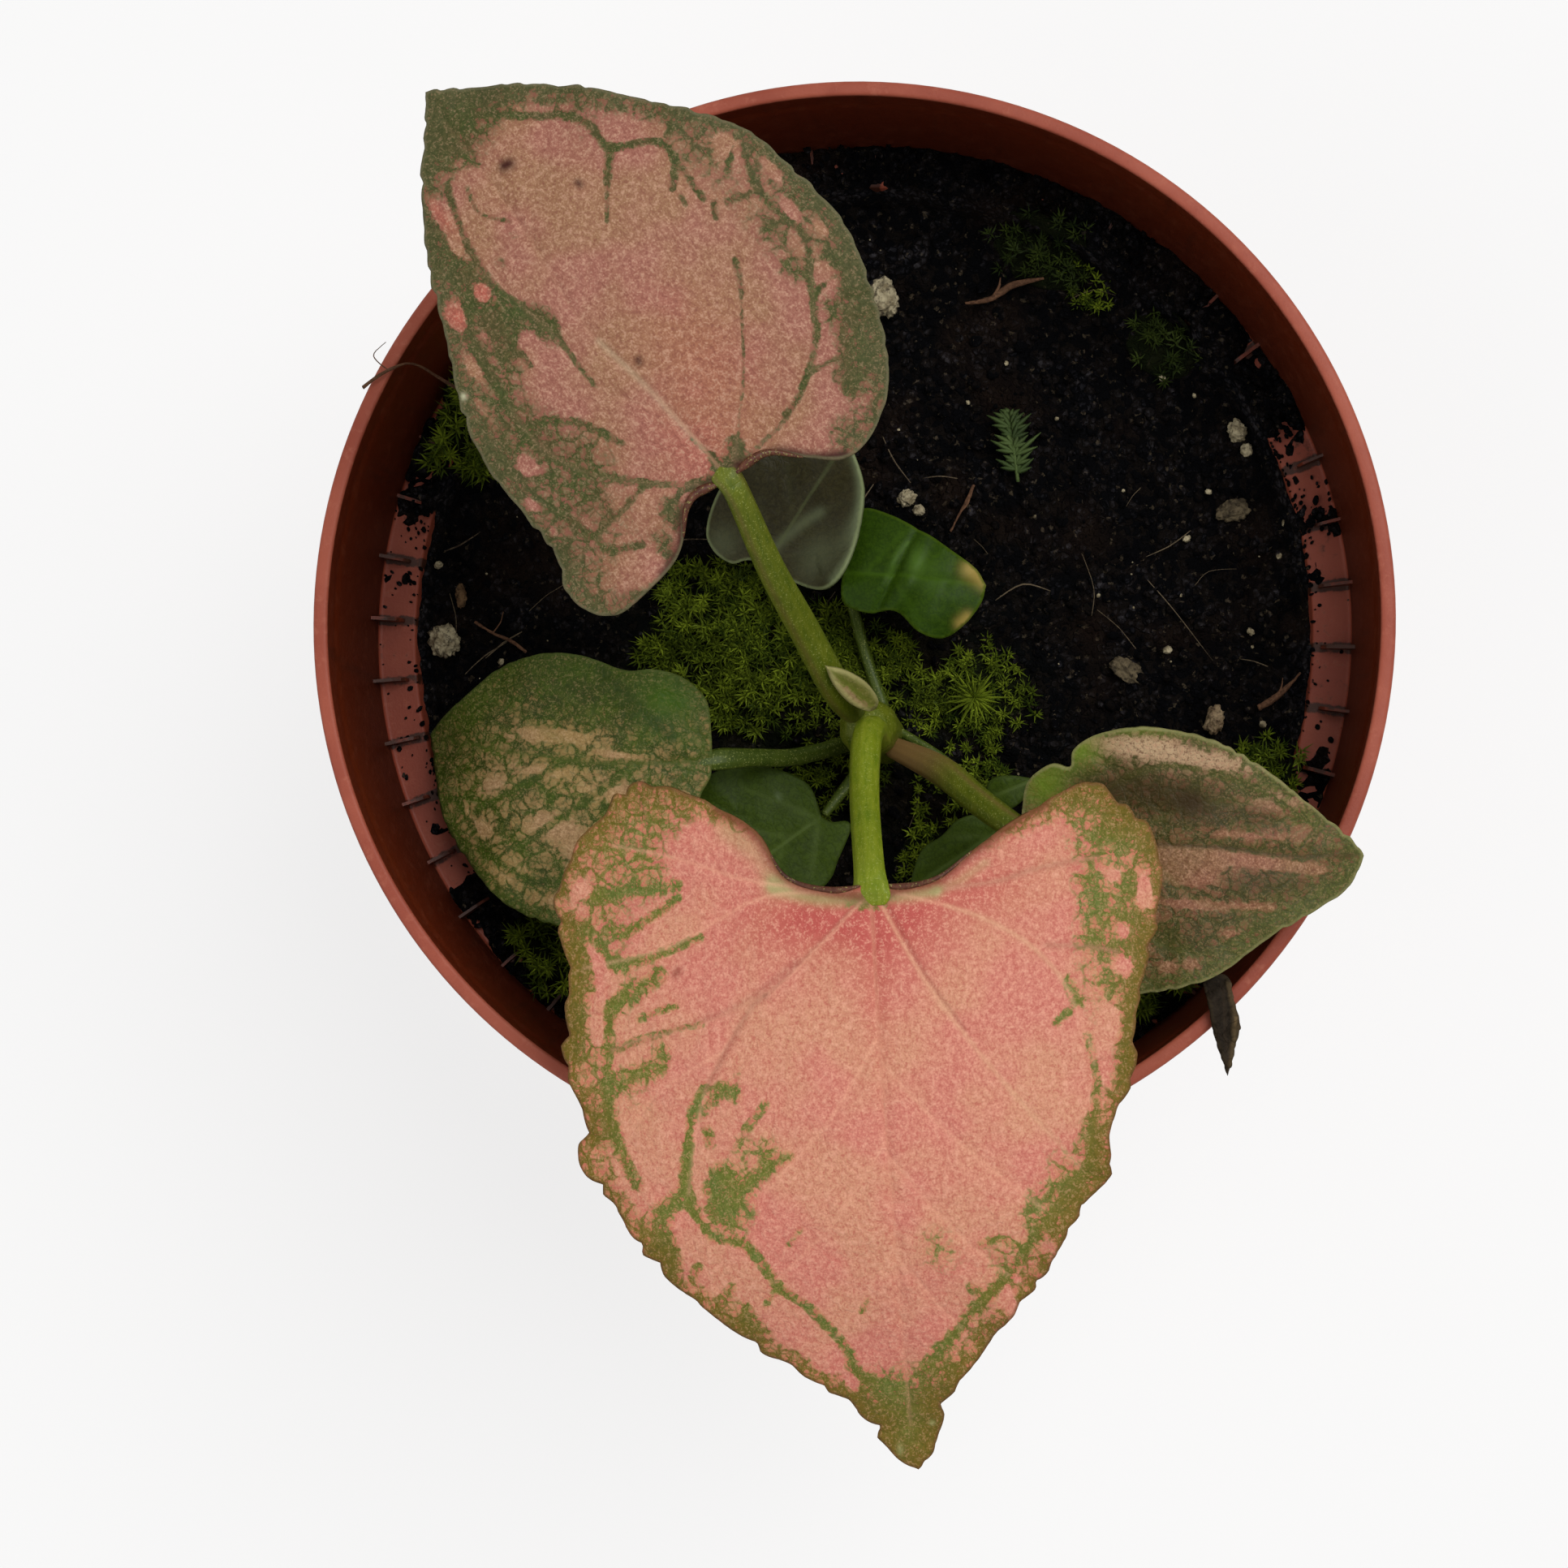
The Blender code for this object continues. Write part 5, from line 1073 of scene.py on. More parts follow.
def pot_profile():
    """The pot's section (r, z) with rounded corners, split so that no step is longer than 3 mm."""
    band_outer = LEDGE_OUTER + LIP_WIDTH
    shoulder = LEDGE_Z - 1.2
    corners = [
        (0.0, FLOOR_TOP, 0.0), (BASE_RADIUS - WALL, FLOOR_TOP, 0.8), (LEDGE_INNER, LEDGE_Z, 0.25),
        (LEDGE_OUTER, LEDGE_Z, 0.35), (LIP_INNER - 0.1, POT_HEIGHT - 3.4, 0.3),
        (LIP_INNER + 0.15, POT_HEIGHT - 2.6, 0.3), (LIP_INNER + 0.1, POT_HEIGHT, 0.35),
        (RIM_RADIUS - 0.05, POT_HEIGHT, 0.45), (RIM_RADIUS - 0.05, POT_HEIGHT - 2.6, 0.4),
        (RIM_RADIUS - 0.6, POT_HEIGHT - 3.3, 0.3), (band_outer, shoulder, 0.5),
        (LEDGE_INNER + WALL, shoulder, 0.4), (BASE_RADIUS, 0.0, 0.6), (BASE_RADIUS - 3.5, 0.0, 0.3),
        (BASE_RADIUS - 4.1, FLOOR_BOTTOM, 0.3), (8.6, FLOOR_BOTTOM, 0.3), (8.0, 0.0, 0.3), (0.0, 0.0, 0.0)]
    profile = [np.array(corners[0][:2])]
    for before, corner, after in zip(corners, corners[1:], corners[2:]):
        profile.extend(rounded(before[:2], corner[:2], after[:2], corner[2]))
    profile.append(np.array(corners[-1][:2]))
    dense = [profile[0]]
    for start, end in zip(profile, profile[1:]):
        pieces = max(1, int(hypot(*(end - start)) / 3.0))
        dense.extend([start + (end - start) * part / pieces for part in range(1, pieces + 1)])
    return dense


def lathe(profile, steps):
    """A closed turned shape from (r, z) points that start and end on the axis."""
    points = [(0.0, 0.0, profile[0][1])]
    points.extend([(*polar(r, tau * index / steps), z) for r, z in profile[1:-1] for index in range(steps)])
    points.append((0.0, 0.0, profile[-1][1]))
    return points, turned_faces(steps, len(profile) - 2)


def rib(angle, length, height, half):
    """One thin upright rib of the ledge, with a worn slanting top."""
    outer = LEDGE_OUTER + 0.5
    inner = LEDGE_OUTER - length
    outline = [(outer, -0.3), (inner, -0.3), (inner, height * 0.5), (inner + 0.4, height * 0.8),
               (inner + 1.1, height), (outer, height * 1.25)]
    points = [(*placed((0.0, 0.0), angle, r, side), LEDGE_Z + z)
              for side in (-half, half) for r, z in outline]
    count = len(outline)
    faces = [tuple(range(count)), tuple(reversed(range(count, 2 * count)))]
    return points, faces + [(index, index + count, (index + 1) % count + count, (index + 1) % count)
                            for index in range(count)]


def pot_mark(x, y, z):
    """Peat dirt with painted shade, inner face and depth below the lip at a point of the pot."""
    inner = np.interp(z, [FLOOR_TOP, LEDGE_Z - 0.3, LEDGE_Z], [BASE_RADIUS - WALL, LEDGE_INNER, LIP_INNER])
    if hypot(x, y) > inner + 0.2 or not FLOOR_TOP - 0.1 < z < POT_HEIGHT - 0.3:
        # Outside: darker towards the bottom.
        return (min(0.3, max(0.0, (4.0 - z) / 12.0)), 0.0, 0.0)
    # Painted shade: the inner wall darkens lower down and on the back, the side away from the key lamp.
    back = 0.5 + 0.5 * sin(atan2(y, x) + 0.3)
    dirt_and_shade = clamp((LEDGE_Z + 6.0 - z) / 10.0) * (0.2 + 0.7 * back) * 0.6
    if z < LEDGE_Z + 0.3:
        return (0.12 + 0.3 * noise.noise(Vector((x, y, z)) / 3.0) + dirt_and_shade, 0.4, 0.0)
    return (dirt_and_shade, 1.0, clamp((POT_HEIGHT - z) / BAND_HEIGHT))


def cut_drains(pot):
    """Round holes through the floor, as the solid has."""
    pile = Pile()
    for index in range(DRAIN_COUNT):
        x, y = polar(DRAIN_CIRCLE, tau * (index + 0.5) / DRAIN_COUNT)
        route = [(x, y, FLOOR_BOTTOM - 2.0), (x, y, FLOOR_TOP + 2.0)]
        pile.add(*tube(route, [DRAIN_RADIUS] * 2, sides=24, steps=1))
    guide = mesh_object("drain_guide", pile.points, pile.faces)
    cut = pot.modifiers.new("drains", "BOOLEAN")
    cut.object = guide
    bpy.context.view_layer.objects.active = pot
    bpy.ops.object.modifier_apply(modifier=cut.name)
    bpy.data.objects.remove(guide, do_unlink=True)


# Height of the soil drift above the ledge, by angle in degrees; the ledge shows where it is negative.
LEDGE_DRIFT = [(-180, -0.3), (-155, -0.2), (-140, 0.6), (-120, 1.2), (-60, 1.2), (-30, 0.8), (-20, 0.1),
               (-10, -0.2), (0, -0.3), (10, -0.2), (14, 0.8), (17, 0.1), (23, 0.0), (27, 1.0), (40, 0.7),
               (60, 1.3), (90, 1.6), (120, 1.5), (150, 1.0), (163, 0.6), (169, -0.2), (180, -0.3)]


def drift_height(angle):
    return np.interp(degrees(angle), *zip(*LEDGE_DRIFT))


def add_pot():
    """The pot in fine steps, with a rounded lip, the ledge, its worn ribs and the drain holes."""
    material = pot_material()
    shell = mesh_piece("pot_shell", *lathe(pot_profile(), 192), material, "pot_plastic")
    cut_drains(shell)
    shell.data.shade_smooth()
    paint(shell, "tone", [pot_mark(*(vertex.co / MM)) for vertex in shell.data.vertices])
    shell.data.set_sharp_from_angle(angle=radians(50))
    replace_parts(shell, "pot")
    rng = np.random.default_rng(5)
    pile = Pile()
    for index in range(RIB_COUNT):
        angle = tau * (index + RIB_PHASE) / RIB_COUNT
        angle = atan2(sin(angle), cos(angle))
        worn = 1.0 - 0.4 * rng.random()
        height = (2.3 if drift_height(angle) < 0.5 else 1.2) * worn
        pile.add(*rib(angle, 2.0 + 0.8 * rng.random(), height, 0.11 + 0.05 * rng.random()))
    ribs = mesh_piece("pot_ribs", pile.points, pile.faces, material, "pot_plastic", smooth=False)
    # The ribs are painted dark: peat dirt with painted shade.
    paint(ribs, "tone", [(0.72 + 0.2 * sin(x * 3.0 + y * 5.0), 0.85, 0.3) for x, y, _ in pile.points])


# ---- soil and what lies on it ----
def soil_base(x, y):
    return SOIL_LEVEL + SOIL_SWELL * sin(0.16 * x + 0.6) * cos(0.14 * y - 0.3)


def crumbly(x, y):
    """Rough relief of peat around zero."""
    clods = noise.voronoi(Vector((x, y, 0.0)) / 1.9)[0]
    lumps = noise.voronoi(Vector((x + 40.0, y, 3.0)) / 0.8)[0]
    rough = noise.fractal(Vector((x, y, 1.0)) / 4.5, 0.8, 2.0, 4)
    return (0.85 * rough + 1.0 * (0.55 - clods[0]) + 0.55 * (0.55 - lumps[0])
            + 0.2 * noise.noise(Vector((x, y, 2.0)) * 2.2))


def soil_top(x, y):
    return soil_base(x, y) + crumbly(x, y)


def peat_tone(x, y, z):
    """Grey dust with painted shade (lighter where the soil is raised), brown and green film at a point of
    the soil.
    """
    raised = z - soil_base(x, y) if hypot(x, y) < LEDGE_INNER else 0.4
    dust_and_shade = clamp(0.42 + 0.45 * raised + 0.3 * noise.noise(Vector((x, y, z)) / 2.6))
    brown = 0.55 * max(0.0, noise.noise(Vector((x + 7.0, y, z)) / 5.0) - 0.1)
    moss = 0.8 * exp(-((x + 6.0) / 13.0) ** 2 - ((y + 6.0) / 11.0) ** 2)
    return (dust_and_shade, brown, max(0.0, moss * (0.5 + 0.5 * noise.noise(Vector((x, y, 5.0)) / 2.0))))


def add_soil():
    """The peat: a dense crumbly top that closes over a plain body down to the floor; gives its material."""
    rings, steps = 108, 372
    side = (LEDGE_INNER - BASE_RADIUS + WALL) / (LEDGE_Z - FLOOR_TOP)
    low_radius = BASE_RADIUS - WALL + side * 0.3 - 0.35
    turns = [tau * index / steps for index in range(steps)]
    spots = [polar(SOIL_RADIUS * ring / rings, turn) for ring in range(1, rings + 1) for turn in turns]
    points = [(x, y, soil_top(x, y)) for x, y in [(0.0, 0.0), *spots]]
    points.extend([(*polar(low_radius, turn), FLOOR_TOP + 0.3) for turn in turns])
    points.append((0.0, 0.0, FLOOR_TOP + 0.3))
    peat = soil_material()
    made = mesh_piece("soil_body", points, turned_faces(steps, rings + 1), peat, "peat_soil")
    paint(made, "tone", [peat_tone(*point) for point in points])
    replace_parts(made, "potting_soil")
    return peat


def add_drift(peat):
    """Peat that has spilled over the ledge, as one closed ring."""
    steps = 560
    reaches = [LEDGE_INNER + step for step in (-1.2, -0.4, 0.1, 0.7, 1.3, 1.9, 2.5, 3.0)]
    reaches.append(LEDGE_OUTER + 0.15)
    sides = len(reaches) + 2
    points = []
    for index in range(steps):
        angle = -pi + tau * index / steps
        height = drift_height(angle)
        for reach in reaches:
            x, y = polar(reach, angle)
            on_ledge = clamp((reach - LEDGE_INNER + 1.2) / 1.4)
            level = (SOIL_LEVEL + 0.4) * (1.0 - on_ledge) + (LEDGE_Z + height) * on_ledge
            points.append((x, y, level + crumbly(x, y) * (0.8 + 0.4 * max(0.0, height)) - 0.25))
        points.append((*polar(reaches[-1], angle), LEDGE_Z - 0.6))
        points.append((*polar(reaches[0], angle), SOIL_LEVEL - 1.6))
    last = (steps - 1) * sides
    faces = ring_faces(0, sides, steps)
    faces.extend([(last + index, index, (index + 1) % sides, last + (index + 1) % sides)
                  for index in range(sides)])
    made = mesh_piece("soil_drift", points, faces, peat, "peat_soil")
    paint(made, "tone", [peat_tone(*point) for point in points])


def add_crumbs(peat):
    """Loose peat crumbs on the soil and on the pot's ledge."""
    rng = np.random.default_rng(11)
    pile = Pile()
    for _ in range(CRUMBS_ON_SOIL):
        reach = SOIL_RADIUS * sqrt(rng.random()) * 0.985
        angle = rng.random() * tau
        size = 0.14 + 0.5 * rng.random() ** 3
        x, y = polar(reach, angle)
        sizes = (size, size * (0.6 + 0.4 * rng.random()), size * (0.5 + 0.3 * rng.random()))
        level = 1 if size > 0.33 else 0
        centre = (x, y, soil_top(x, y) + size * 0.2)
        points, faces = lump(centre, sizes, angle * 3.0, rng.random() * 50, level)
        pile.add(points, faces, tone=0.1 + 0.6 * rng.random())
    for _ in range(CRUMBS_ON_LEDGE):
        angle = (rng.random() - 0.5) * tau
        height = drift_height(angle)
        if rng.random() > 0.5 + height:
            continue
        bare = height < 0.3
        reach = LEDGE_INNER + (LEDGE_OUTER - LEDGE_INNER) * rng.random() ** (3.5 if bare else 1.4)
        size = 0.1 + (0.24 if bare else 0.45) * rng.random() ** 2
        sizes = (size, size * (0.5 + 0.4 * rng.random()), size * 0.6)
        centre = (*polar(reach, angle), LEDGE_Z + max(0.0, height) + size * 0.3)
        points, faces = lump(centre, sizes, angle * 5.0, rng.random() * 50, 0)
        pile.add(points, faces, tone=0.2 + 0.6 * rng.random())
    pile.piece("soil_crumbs", peat, "peat_soil")


# ---- moss ----
# Cushions: centre, half widths, turn in degrees, height, needle length, and square millimetres a shoot.
MOSS_CUSHIONS = {
    "moss_middle": ((-10.5, -1), (9.8, 7.4), 0, 3, 1.35, 0.42),
    "moss_star": ((10.5, -5.2), (5, 4.2), 20, 1.8, 1, 0.55),
    "moss_lower": ((8.2, -20.5), (5.5, 4), -10, 2.2, 1, 0.6),
    "moss_left_wall": ((-32.2, 20.2), (6.2, 4.2), 58, 5, 1.7, 0.6),
    "moss_low_left": ((-25.4, -26.8), (6.2, 4.2), -43, 4.4, 1.5, 0.6),
    "moss_low_right": ((23.6, -29), (6, 4), 40, 4, 1.5, 0.6),
    "moss_right_wall": ((35, -12.8), (4, 2.8), 70, 3.4, 1.3, 0.6),
    "moss_back": ((16, 33.6), (5.2, 3), -25, 2.6, 1.1, 1.1),
    "moss_back_right": ((26.4, 25.4), (4, 2.8), -45, 2.4, 1.1, 1.1),
}
# Thin moss without a solid of its own, written in the same way.
MOSS_PATCHES = [
    ((1.5, -3.6), (6.5, 4.6), -35, 1.6, 1.1, 0.5), ((-3.5, -11.5), (6, 4.5), 20, 1.3, 1, 0.6),
    ((9.5, -12.6), (4.6, 3.2), 10, 1.5, 0.9, 0.6), ((-12, -18), (5.5, 3.5), -20, 1.2, 0.9, 0.8),
    ((-22, 7), (3.2, 2.2), 40, 0.8, 0.8, 1), ((20, 30.5), (3, 1.8), -40, 1, 0.9, 0.9)]
STAR_MOSS = (10.1, -5.6)
SHOOT_HEIGHT = 1.1


def add_needle(pile, root, way, length, width, axis, tone):
    """One pointed moss leaf as a thin closed sliver."""
    side = unit(np.cross(way, axis))
    tip = root + way * length
    belly = root + way * length * 0.3
    lift = np.cross(way, side) * width * 0.35
    pile.add([root, belly + side * width * 0.5 + lift, belly - side * width * 0.5 + lift, belly - lift, tip],
             [(0, 2, 1), (0, 1, 3), (0, 3, 2), (4, 1, 2), (4, 3, 1), (4, 2, 3)], tone)


def moss_shoot(pile, place, lean, length, rng):
    """A shoot with needles in a spiral, larger and more upright towards its head."""
    axis = unit(np.array([*lean, 1.0]))
    tone = np.clip(0.4 + 0.28 * rng.standard_normal(), 0.0, 1.0)
    start = rng.random() * 6.28
    for index in range(SHOOT_LEAVES):
        share = (index + 0.5) / SHOOT_LEAVES
        out = np.array([*polar(1.0, start + index * SPIRAL), 0.0])
        way = unit(out + axis * (0.15 + 1.1 * share ** 1.5 + 0.3 * rng.random()))
        size = length * (0.6 + 0.6 * rng.random()) * (1.1 - 0.3 * share)
        root = np.array(place) + axis * SHOOT_HEIGHT * share
        width = 0.13 + 0.05 * length
        light = min(1.0, tone * (0.5 + 0.7 * share) + 0.2 * share)
        add_needle(pile, root, way, size, width, axis, light)


def moss_ground(x, y):
    if hypot(x, y) < LEDGE_INNER - 0.3:
        return soil_base(x, y)
    return LEDGE_Z + max(0.0, drift_height(atan2(y, x)))


def fill_cushion(pile, cushion, rng):
    """Shoots over an oval, tallest in the middle."""
    centre, halves, turn, height, length, area = cushion
    for _ in range(int(halves[0] * halves[1] * pi / area)):
        share = rng.random() ** 0.55
        around = rng.random() * tau
        ragged = 1.0 + 0.16 * sin(3 * around + centre[0]) + 0.1 * sin(7 * around + centre[1])
        x, y = placed(centre, radians(turn), ragged * share * cos(around) * halves[0],
                      ragged * share * sin(around) * halves[1])
        pull = min(1.0, (LEDGE_OUTER - 0.9) / max(hypot(x, y), 1e-6))
        x, y = x * pull, y * pull
        dome = height * sqrt(max(0.03, 1.0 - share ** 2)) * (0.6 + 0.6 * rng.random())
        bottom = moss_ground(x, y) + max(0.0, dome - 1.0) - 0.15
        lean = (0.3 * rng.standard_normal(), 0.3 * rng.standard_normal())
        moss_shoot(pile, (x, y, bottom), lean, length, rng)


def add_bed(name, cushion, peat):
    """The peaty mass under a cushion's shoots."""
    centre, halves, turn, height = cushion[:4]
    points, faces = ICOSPHERES[3]
    made = []
    for x, y, z in points:
        px, py = placed(centre, radians(turn), x * halves[0] * 0.92, y * halves[1] * 0.92)
        rise = height * 0.6 * max(z, 0.0) + 0.35 * noise.noise(Vector((px, py, 0.0)) / 1.1)
        made.append((px, py, moss_ground(px, py) - 0.3 + max(rise, 0.0)))
    paint(mesh_piece(name, made, faces, peat, "moss"), "tone", [(0.1, 0.0, 0.5)] * len(made))


def add_star(pile, rng):
    """The open star of a larger moss: long needles that lie outwards."""
    root = np.array([*STAR_MOSS, soil_base(*STAR_MOSS) + 1.4])
    for index in range(STAR_NEEDLES):
        share = index / STAR_NEEDLES
        way = unit(np.array([*polar(1.0, index * SPIRAL), 0.12 + 1.4 * share ** 2]))
        length = (3.3 - 1.6 * share) * (0.85 + 0.3 * rng.random())
        add_needle(pile, root + way * 0.1, way, length, 0.3, up(1.0), 0.55 + 0.45 * rng.random())


def add_moss(peat):
    rng = np.random.default_rng(23)
    light = moss_material("moss_light", (138, 156, 40), (34, 54, 6), (18, 30, 4))
    # moss_dim is the moss colour darkened as painted shade, for the cushions against the back wall.
    dim = moss_material("moss_dim", (70, 84, 30), (20, 32, 8), (12, 20, 4))
    for name, cushion in MOSS_CUSHIONS.items():
        pile = Pile()
        fill_cushion(pile, cushion, rng)
        if name == "moss_star":
            add_star(pile, rng)
        leaves = dim if name.startswith("moss_back") else light
        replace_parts(pile.piece(name + "_shoots", leaves, "moss", smooth=False), name)
        add_bed(name + "_bed", cushion, peat)
    pile = Pile()
    for patch in MOSS_PATCHES:
        fill_cushion(pile, patch, rng)
    pile.piece("moss_scattered", light, "moss", smooth=False)


# ---- litter ----
# Grains: place, half sizes, turn in degrees, and which material.
GRAINS = {
    "pebble_back": ((2.3, 29.8), (1.2, 1.6, 1.1), 10, "perlite"),
    "pebble_left": ((-37, -0.2), (1.3, 1.45, 1.1), 0, "perlite"),
    "perlite_middle": ((4.2, 12.1), (0.8, 0.7, 0.6), 30, "perlite"),
    "perlite_right": ((33.1, 17.6), (0.95, 0.8, 0.7), -60, "perlite"),
    "bark_chip_right": ((32.7, 10.7), (1.5, 0.9, 0.5), 15, "bark"),
    "bark_chip_left": ((-35.6, 3.8), (0.45, 1, 0.4), 5, "wood"),
    "pebble_right": ((31, -7.6), (0.75, 1.25, 0.8), -15, "stone"),
    "bark_chip_middle": ((23.5, -3.2), (1.6, 0.9, 0.5), -30, "bark"),
}
# Small pale bits without a solid of their own: x, y and radius.
SPECKS = [(5.3, 11, 0.55), (33.9, 16, 0.62), (-37.7, 6.6, 0.4), (19.1, 33.7, 0.3), (28.7, 8.3, 0.35),
          (37.3, 9.5, 0.4), (36.7, 6.7, 0.3), (34.2, 0.1, 0.35), (-32, -2.1, 0.3), (26.6, 22.4, 0.3),
          (13, 24, 0.25), (30.6, 12.4, 0.3), (21, 3.4, 0.25), (17.4, 19, 0.22), (9.6, 20.6, 0.25),
          (27, -1.4, 0.4), (29.4, 20.8, 0.25), (-20.6, -3.4, 0.25), (35.2, -8, 0.35), (23.2, 12.6, 0.2)]
# Twigs: points (x, y, height above the soil) and radius.
TWIGS = {
    "twig_left": ([(-34.2, 1.4, 1.3), (-32.6, 0.4, 1.2), (-31, -0.3, 1.1), (-29.6, -1.3, 1.2)], 0.26),
    "twig_right": ([(34.8, -6.6, 1), (36, -5.9, 1.2), (37.4, -4.7, 1.3), (38.4, -3.6, 1.6)], 0.3),
    "root_back": ([(9.4, 29.3, 0.9), (11.6, 29.6, 1.1), (13.6, 30.8, 1), (16.3, 31.3, 1.1)], 0.27),
    "root_middle": ([(8.1, 9.1, 0.8), (8.9, 10.7, 1), (9.6, 11.9, 0.9), (10.1, 13.2, 0.8)], 0.22),
}
FIBRES = [[(-37.1, 7.8), (-35.6, 8.4), (-33.9, 9.5)], [(18.7, 29.5), (20.6, 30.2), (22.6, 29.7)],
          [(25.3, 4.7), (27.6, 2), (30.9, -2.4)], [(19.6, 7), (20.6, 4), (20.4, 1.6)],
          [(-36.6, 4), (-36, 1.6), (-36.2, -1.4)], [(29.4, 4.2), (30.6, 5.4), (33, 5.6)],
          [(12, 3), (14.4, 4.4), (16.8, 3.8)], [(-27.4, -3.6), (-25, -2.4), (-22.4, -3.2)]]
ROOTLET = [(-40.6, 19.8, 75.6), (-38.4, 21.2, 75.7), (-36.6, 22, 74), (-34.8, 21.2, 69.5), (-33, 20.4, 63.6)]
ROOTLET_FORK = [ROOTLET[1], (-39.6, 22.4, 75.9), (-38.6, 23.6, 75.7)]
# The feathery seedling: where it starts and heads, and (distance, length) of its pairs of leaflets.
SPRIG_BASE = (14, 13.4)
SPRIG_HEADING = 97
SPRIG_LEAFLETS = [(0.9, 1.9), (1.6, 2.3), (2.4, 2.6), (3.1, 2.5),
                  (3.9, 2.4), (4.6, 2.2), (5.2, 1.7), (5.8, 1.2)]


def on_soil(points):
    """Points (x, y, height above the soil) as places."""
    return [(x, y, soil_base(x, y) + height) for x, y, height in points]


def add_grains(materials):
    for index, (name, ((x, y), sizes, turn, kind)) in enumerate(GRAINS.items()):
        centre = (x, y, soil_base(x, y) + 0.35 + sizes[2] * 0.8)
        points, faces = lump(centre, sizes, radians(turn), index * 7.3, 3, rough=2.2)
        slot = "pale_grain" if kind in ("perlite", "stone") else "dead_plant"
        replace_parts(mesh_piece(name + "_fine", points, faces, materials[kind], slot), name)
    rng = np.random.default_rng(31)
    loose = [(36.0 * sqrt(rng.random()) * cos(turn), 36.0 * sqrt(rng.random()) * sin(turn))
             for turn in tau * rng.random(LOOSE_SPECKS)]
    specks = [(x, y, size, soil_base(x, y) + 0.3) for x, y, size in SPECKS]
    specks.extend([(x, y, 0.08 + 0.14 * rng.random() ** 2, soil_top(x, y)) for x, y in loose])
    pile = Pile()
    for index, (x, y, size, height) in enumerate(specks):
        sizes = (size, size * 0.85, size * 0.8)
        level = 2 if size > 0.28 else 0
        pile.add(*lump((x, y, height + size * 0.5), sizes, index * 1.7, index * 3.1, level, rough=2.0))
    pile.piece("perlite_specks", materials["perlite"], "pale_grain")


def knob(place):
    """A push of up to 1 in each direction, by smooth noise."""
    return np.array([noise.noise(place + Vector(shift)) for shift in ((0, 0, 0), (17, 0, 0), (0, 31, 0))])


def rough_tube(route, radius, sides=12, steps=6, seed=0.0):
    """A knobbly tube for a twig or root."""
    radii = [radius * (0.8 + 0.35 * sin(5.0 * index + seed)) for index in range(len(route))]
    radii[0] *= 0.7
    radii[-1] *= 0.5
    points, faces = tube(route, radii, sides=sides, steps=steps)
    return [point + 0.25 * radius * knob(Vector(point) * 2.5) for point in points], faces


def add_twigs(wood, thread):
    for index, (name, (route, radius)) in enumerate(TWIGS.items()):
        pile = Pile()
        pile.add(*rough_tube(on_soil(route), radius, seed=index * 2.0), tone=0.4)
        x, y, height = route[1]
        fork = on_soil([route[1], (x + 0.7, y + 0.9, height + 0.1), (x + 0.9, y + 1.9, height - 0.2)])
        pile.add(*rough_tube(fork, radius * 0.45, sides=8, seed=index), tone=0.8)
        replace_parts(pile.piece(name + "_fine", wood, "dead_plant"), name)
    pile = Pile()
    pile.add(*rough_tube(ROOTLET, 0.2, seed=1.0), tone=0.5)
    pile.add(*rough_tube(ROOTLET_FORK, 0.1, sides=8), tone=0.7)
    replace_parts(pile.piece("rootlet_fine", wood, "dead_plant"), "rootlet")
    rng = np.random.default_rng(43)
    routes = [on_soil([(x, y, 0.75) for x, y in line]) for line in FIBRES]
    for _ in range(LOOSE_FIBRES):
        reach, turn, way = 35.0 * sqrt(rng.random()), rng.random() * 6.28, rng.random() * 6.28
        x, y = polar(reach, turn)
        length = 0.9 + 1.6 * rng.random()
        routes.append([(x + share * length * cos(way + bend), y + share * length * sin(way + bend),
                        soil_base(x, y) + 0.6 + 0.3 * rng.random())
                       for share, bend in ((-1, 0.3), (0, 0), (1, 0.5))])
    pile = Pile()
    for route in routes:
        radius = 0.04 + 0.04 * rng.random()
        points, faces = rough_tube(route, radius, sides=6, steps=4, seed=rng.random() * 6.0)
        pile.add(points, faces, tone=rng.random())
    pile.piece("root_fibres", thread, "dead_plant")


def leaflet(root, way, length, width, bend):
    """A narrow closed leaflet with a raised middle, bent along its length."""
    side = np.array([-way[1], way[0], 0.0])
    points, rows = [], 6
    for row in range(rows):
        share = row / (rows - 1)
        half = width * sin(pi * min(0.97, 0.12 + 0.88 * share)) * 0.5 + 0.02
        middle = root + way * length * share + up(bend * share * (1.0 - share))
        points.extend([middle - side * half, middle + up(0.12), middle + side * half, middle - up(0.06)])
    last = 4 * rows - 1
    return points, ring_faces(0, 4, rows) + [(0, 1, 2, 3), (last, last - 1, last - 2, last - 3)]


def add_sprig(material):
    """The feathery seedling: a stem with narrow forked leaflets."""
    ahead = np.array([*polar(1.0, radians(SPRIG_HEADING)), 0.0])
    left = np.array([-ahead[1], ahead[0], 0.0])
    foot = np.array([*SPRIG_BASE, soil_base(*SPRIG_BASE) + 1.1])
    pile = Pile()
    stem = [foot + ahead * s + up(0.5 * sin(s / 2.2)) for s in (0.0, 1.7, 3.4, 5.0, 6.4)]
    pile.add(*tube(stem, [0.16, 0.16, 0.13, 0.1, 0.06], sides=8, steps=4))
    rng = np.random.default_rng(47)
    for index, (s, reach) in enumerate(SPRIG_LEAFLETS):
        for side in (-1.0, 1.0):
            reach = reach * (0.55 + 0.65 * rng.random())
            root = foot + ahead * (s + 0.15 * side) + up(0.5 * sin(s / 2.2))
            for fan, size in ((0.25, 0.7), (0.6, 1.0), (1.1, 0.75)):
                way = left * side * cos(fan) + ahead * sin(fan)
                points, faces = leaflet(root, way, reach * size, 0.42, 0.5 + 0.1 * index)
                pile.add(points, faces, tone=0.2 + 0.1 * (index % 4))
    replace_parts(pile.piece("seedling_sprig_fine", material, "bright_leaf"), "seedling_sprig")


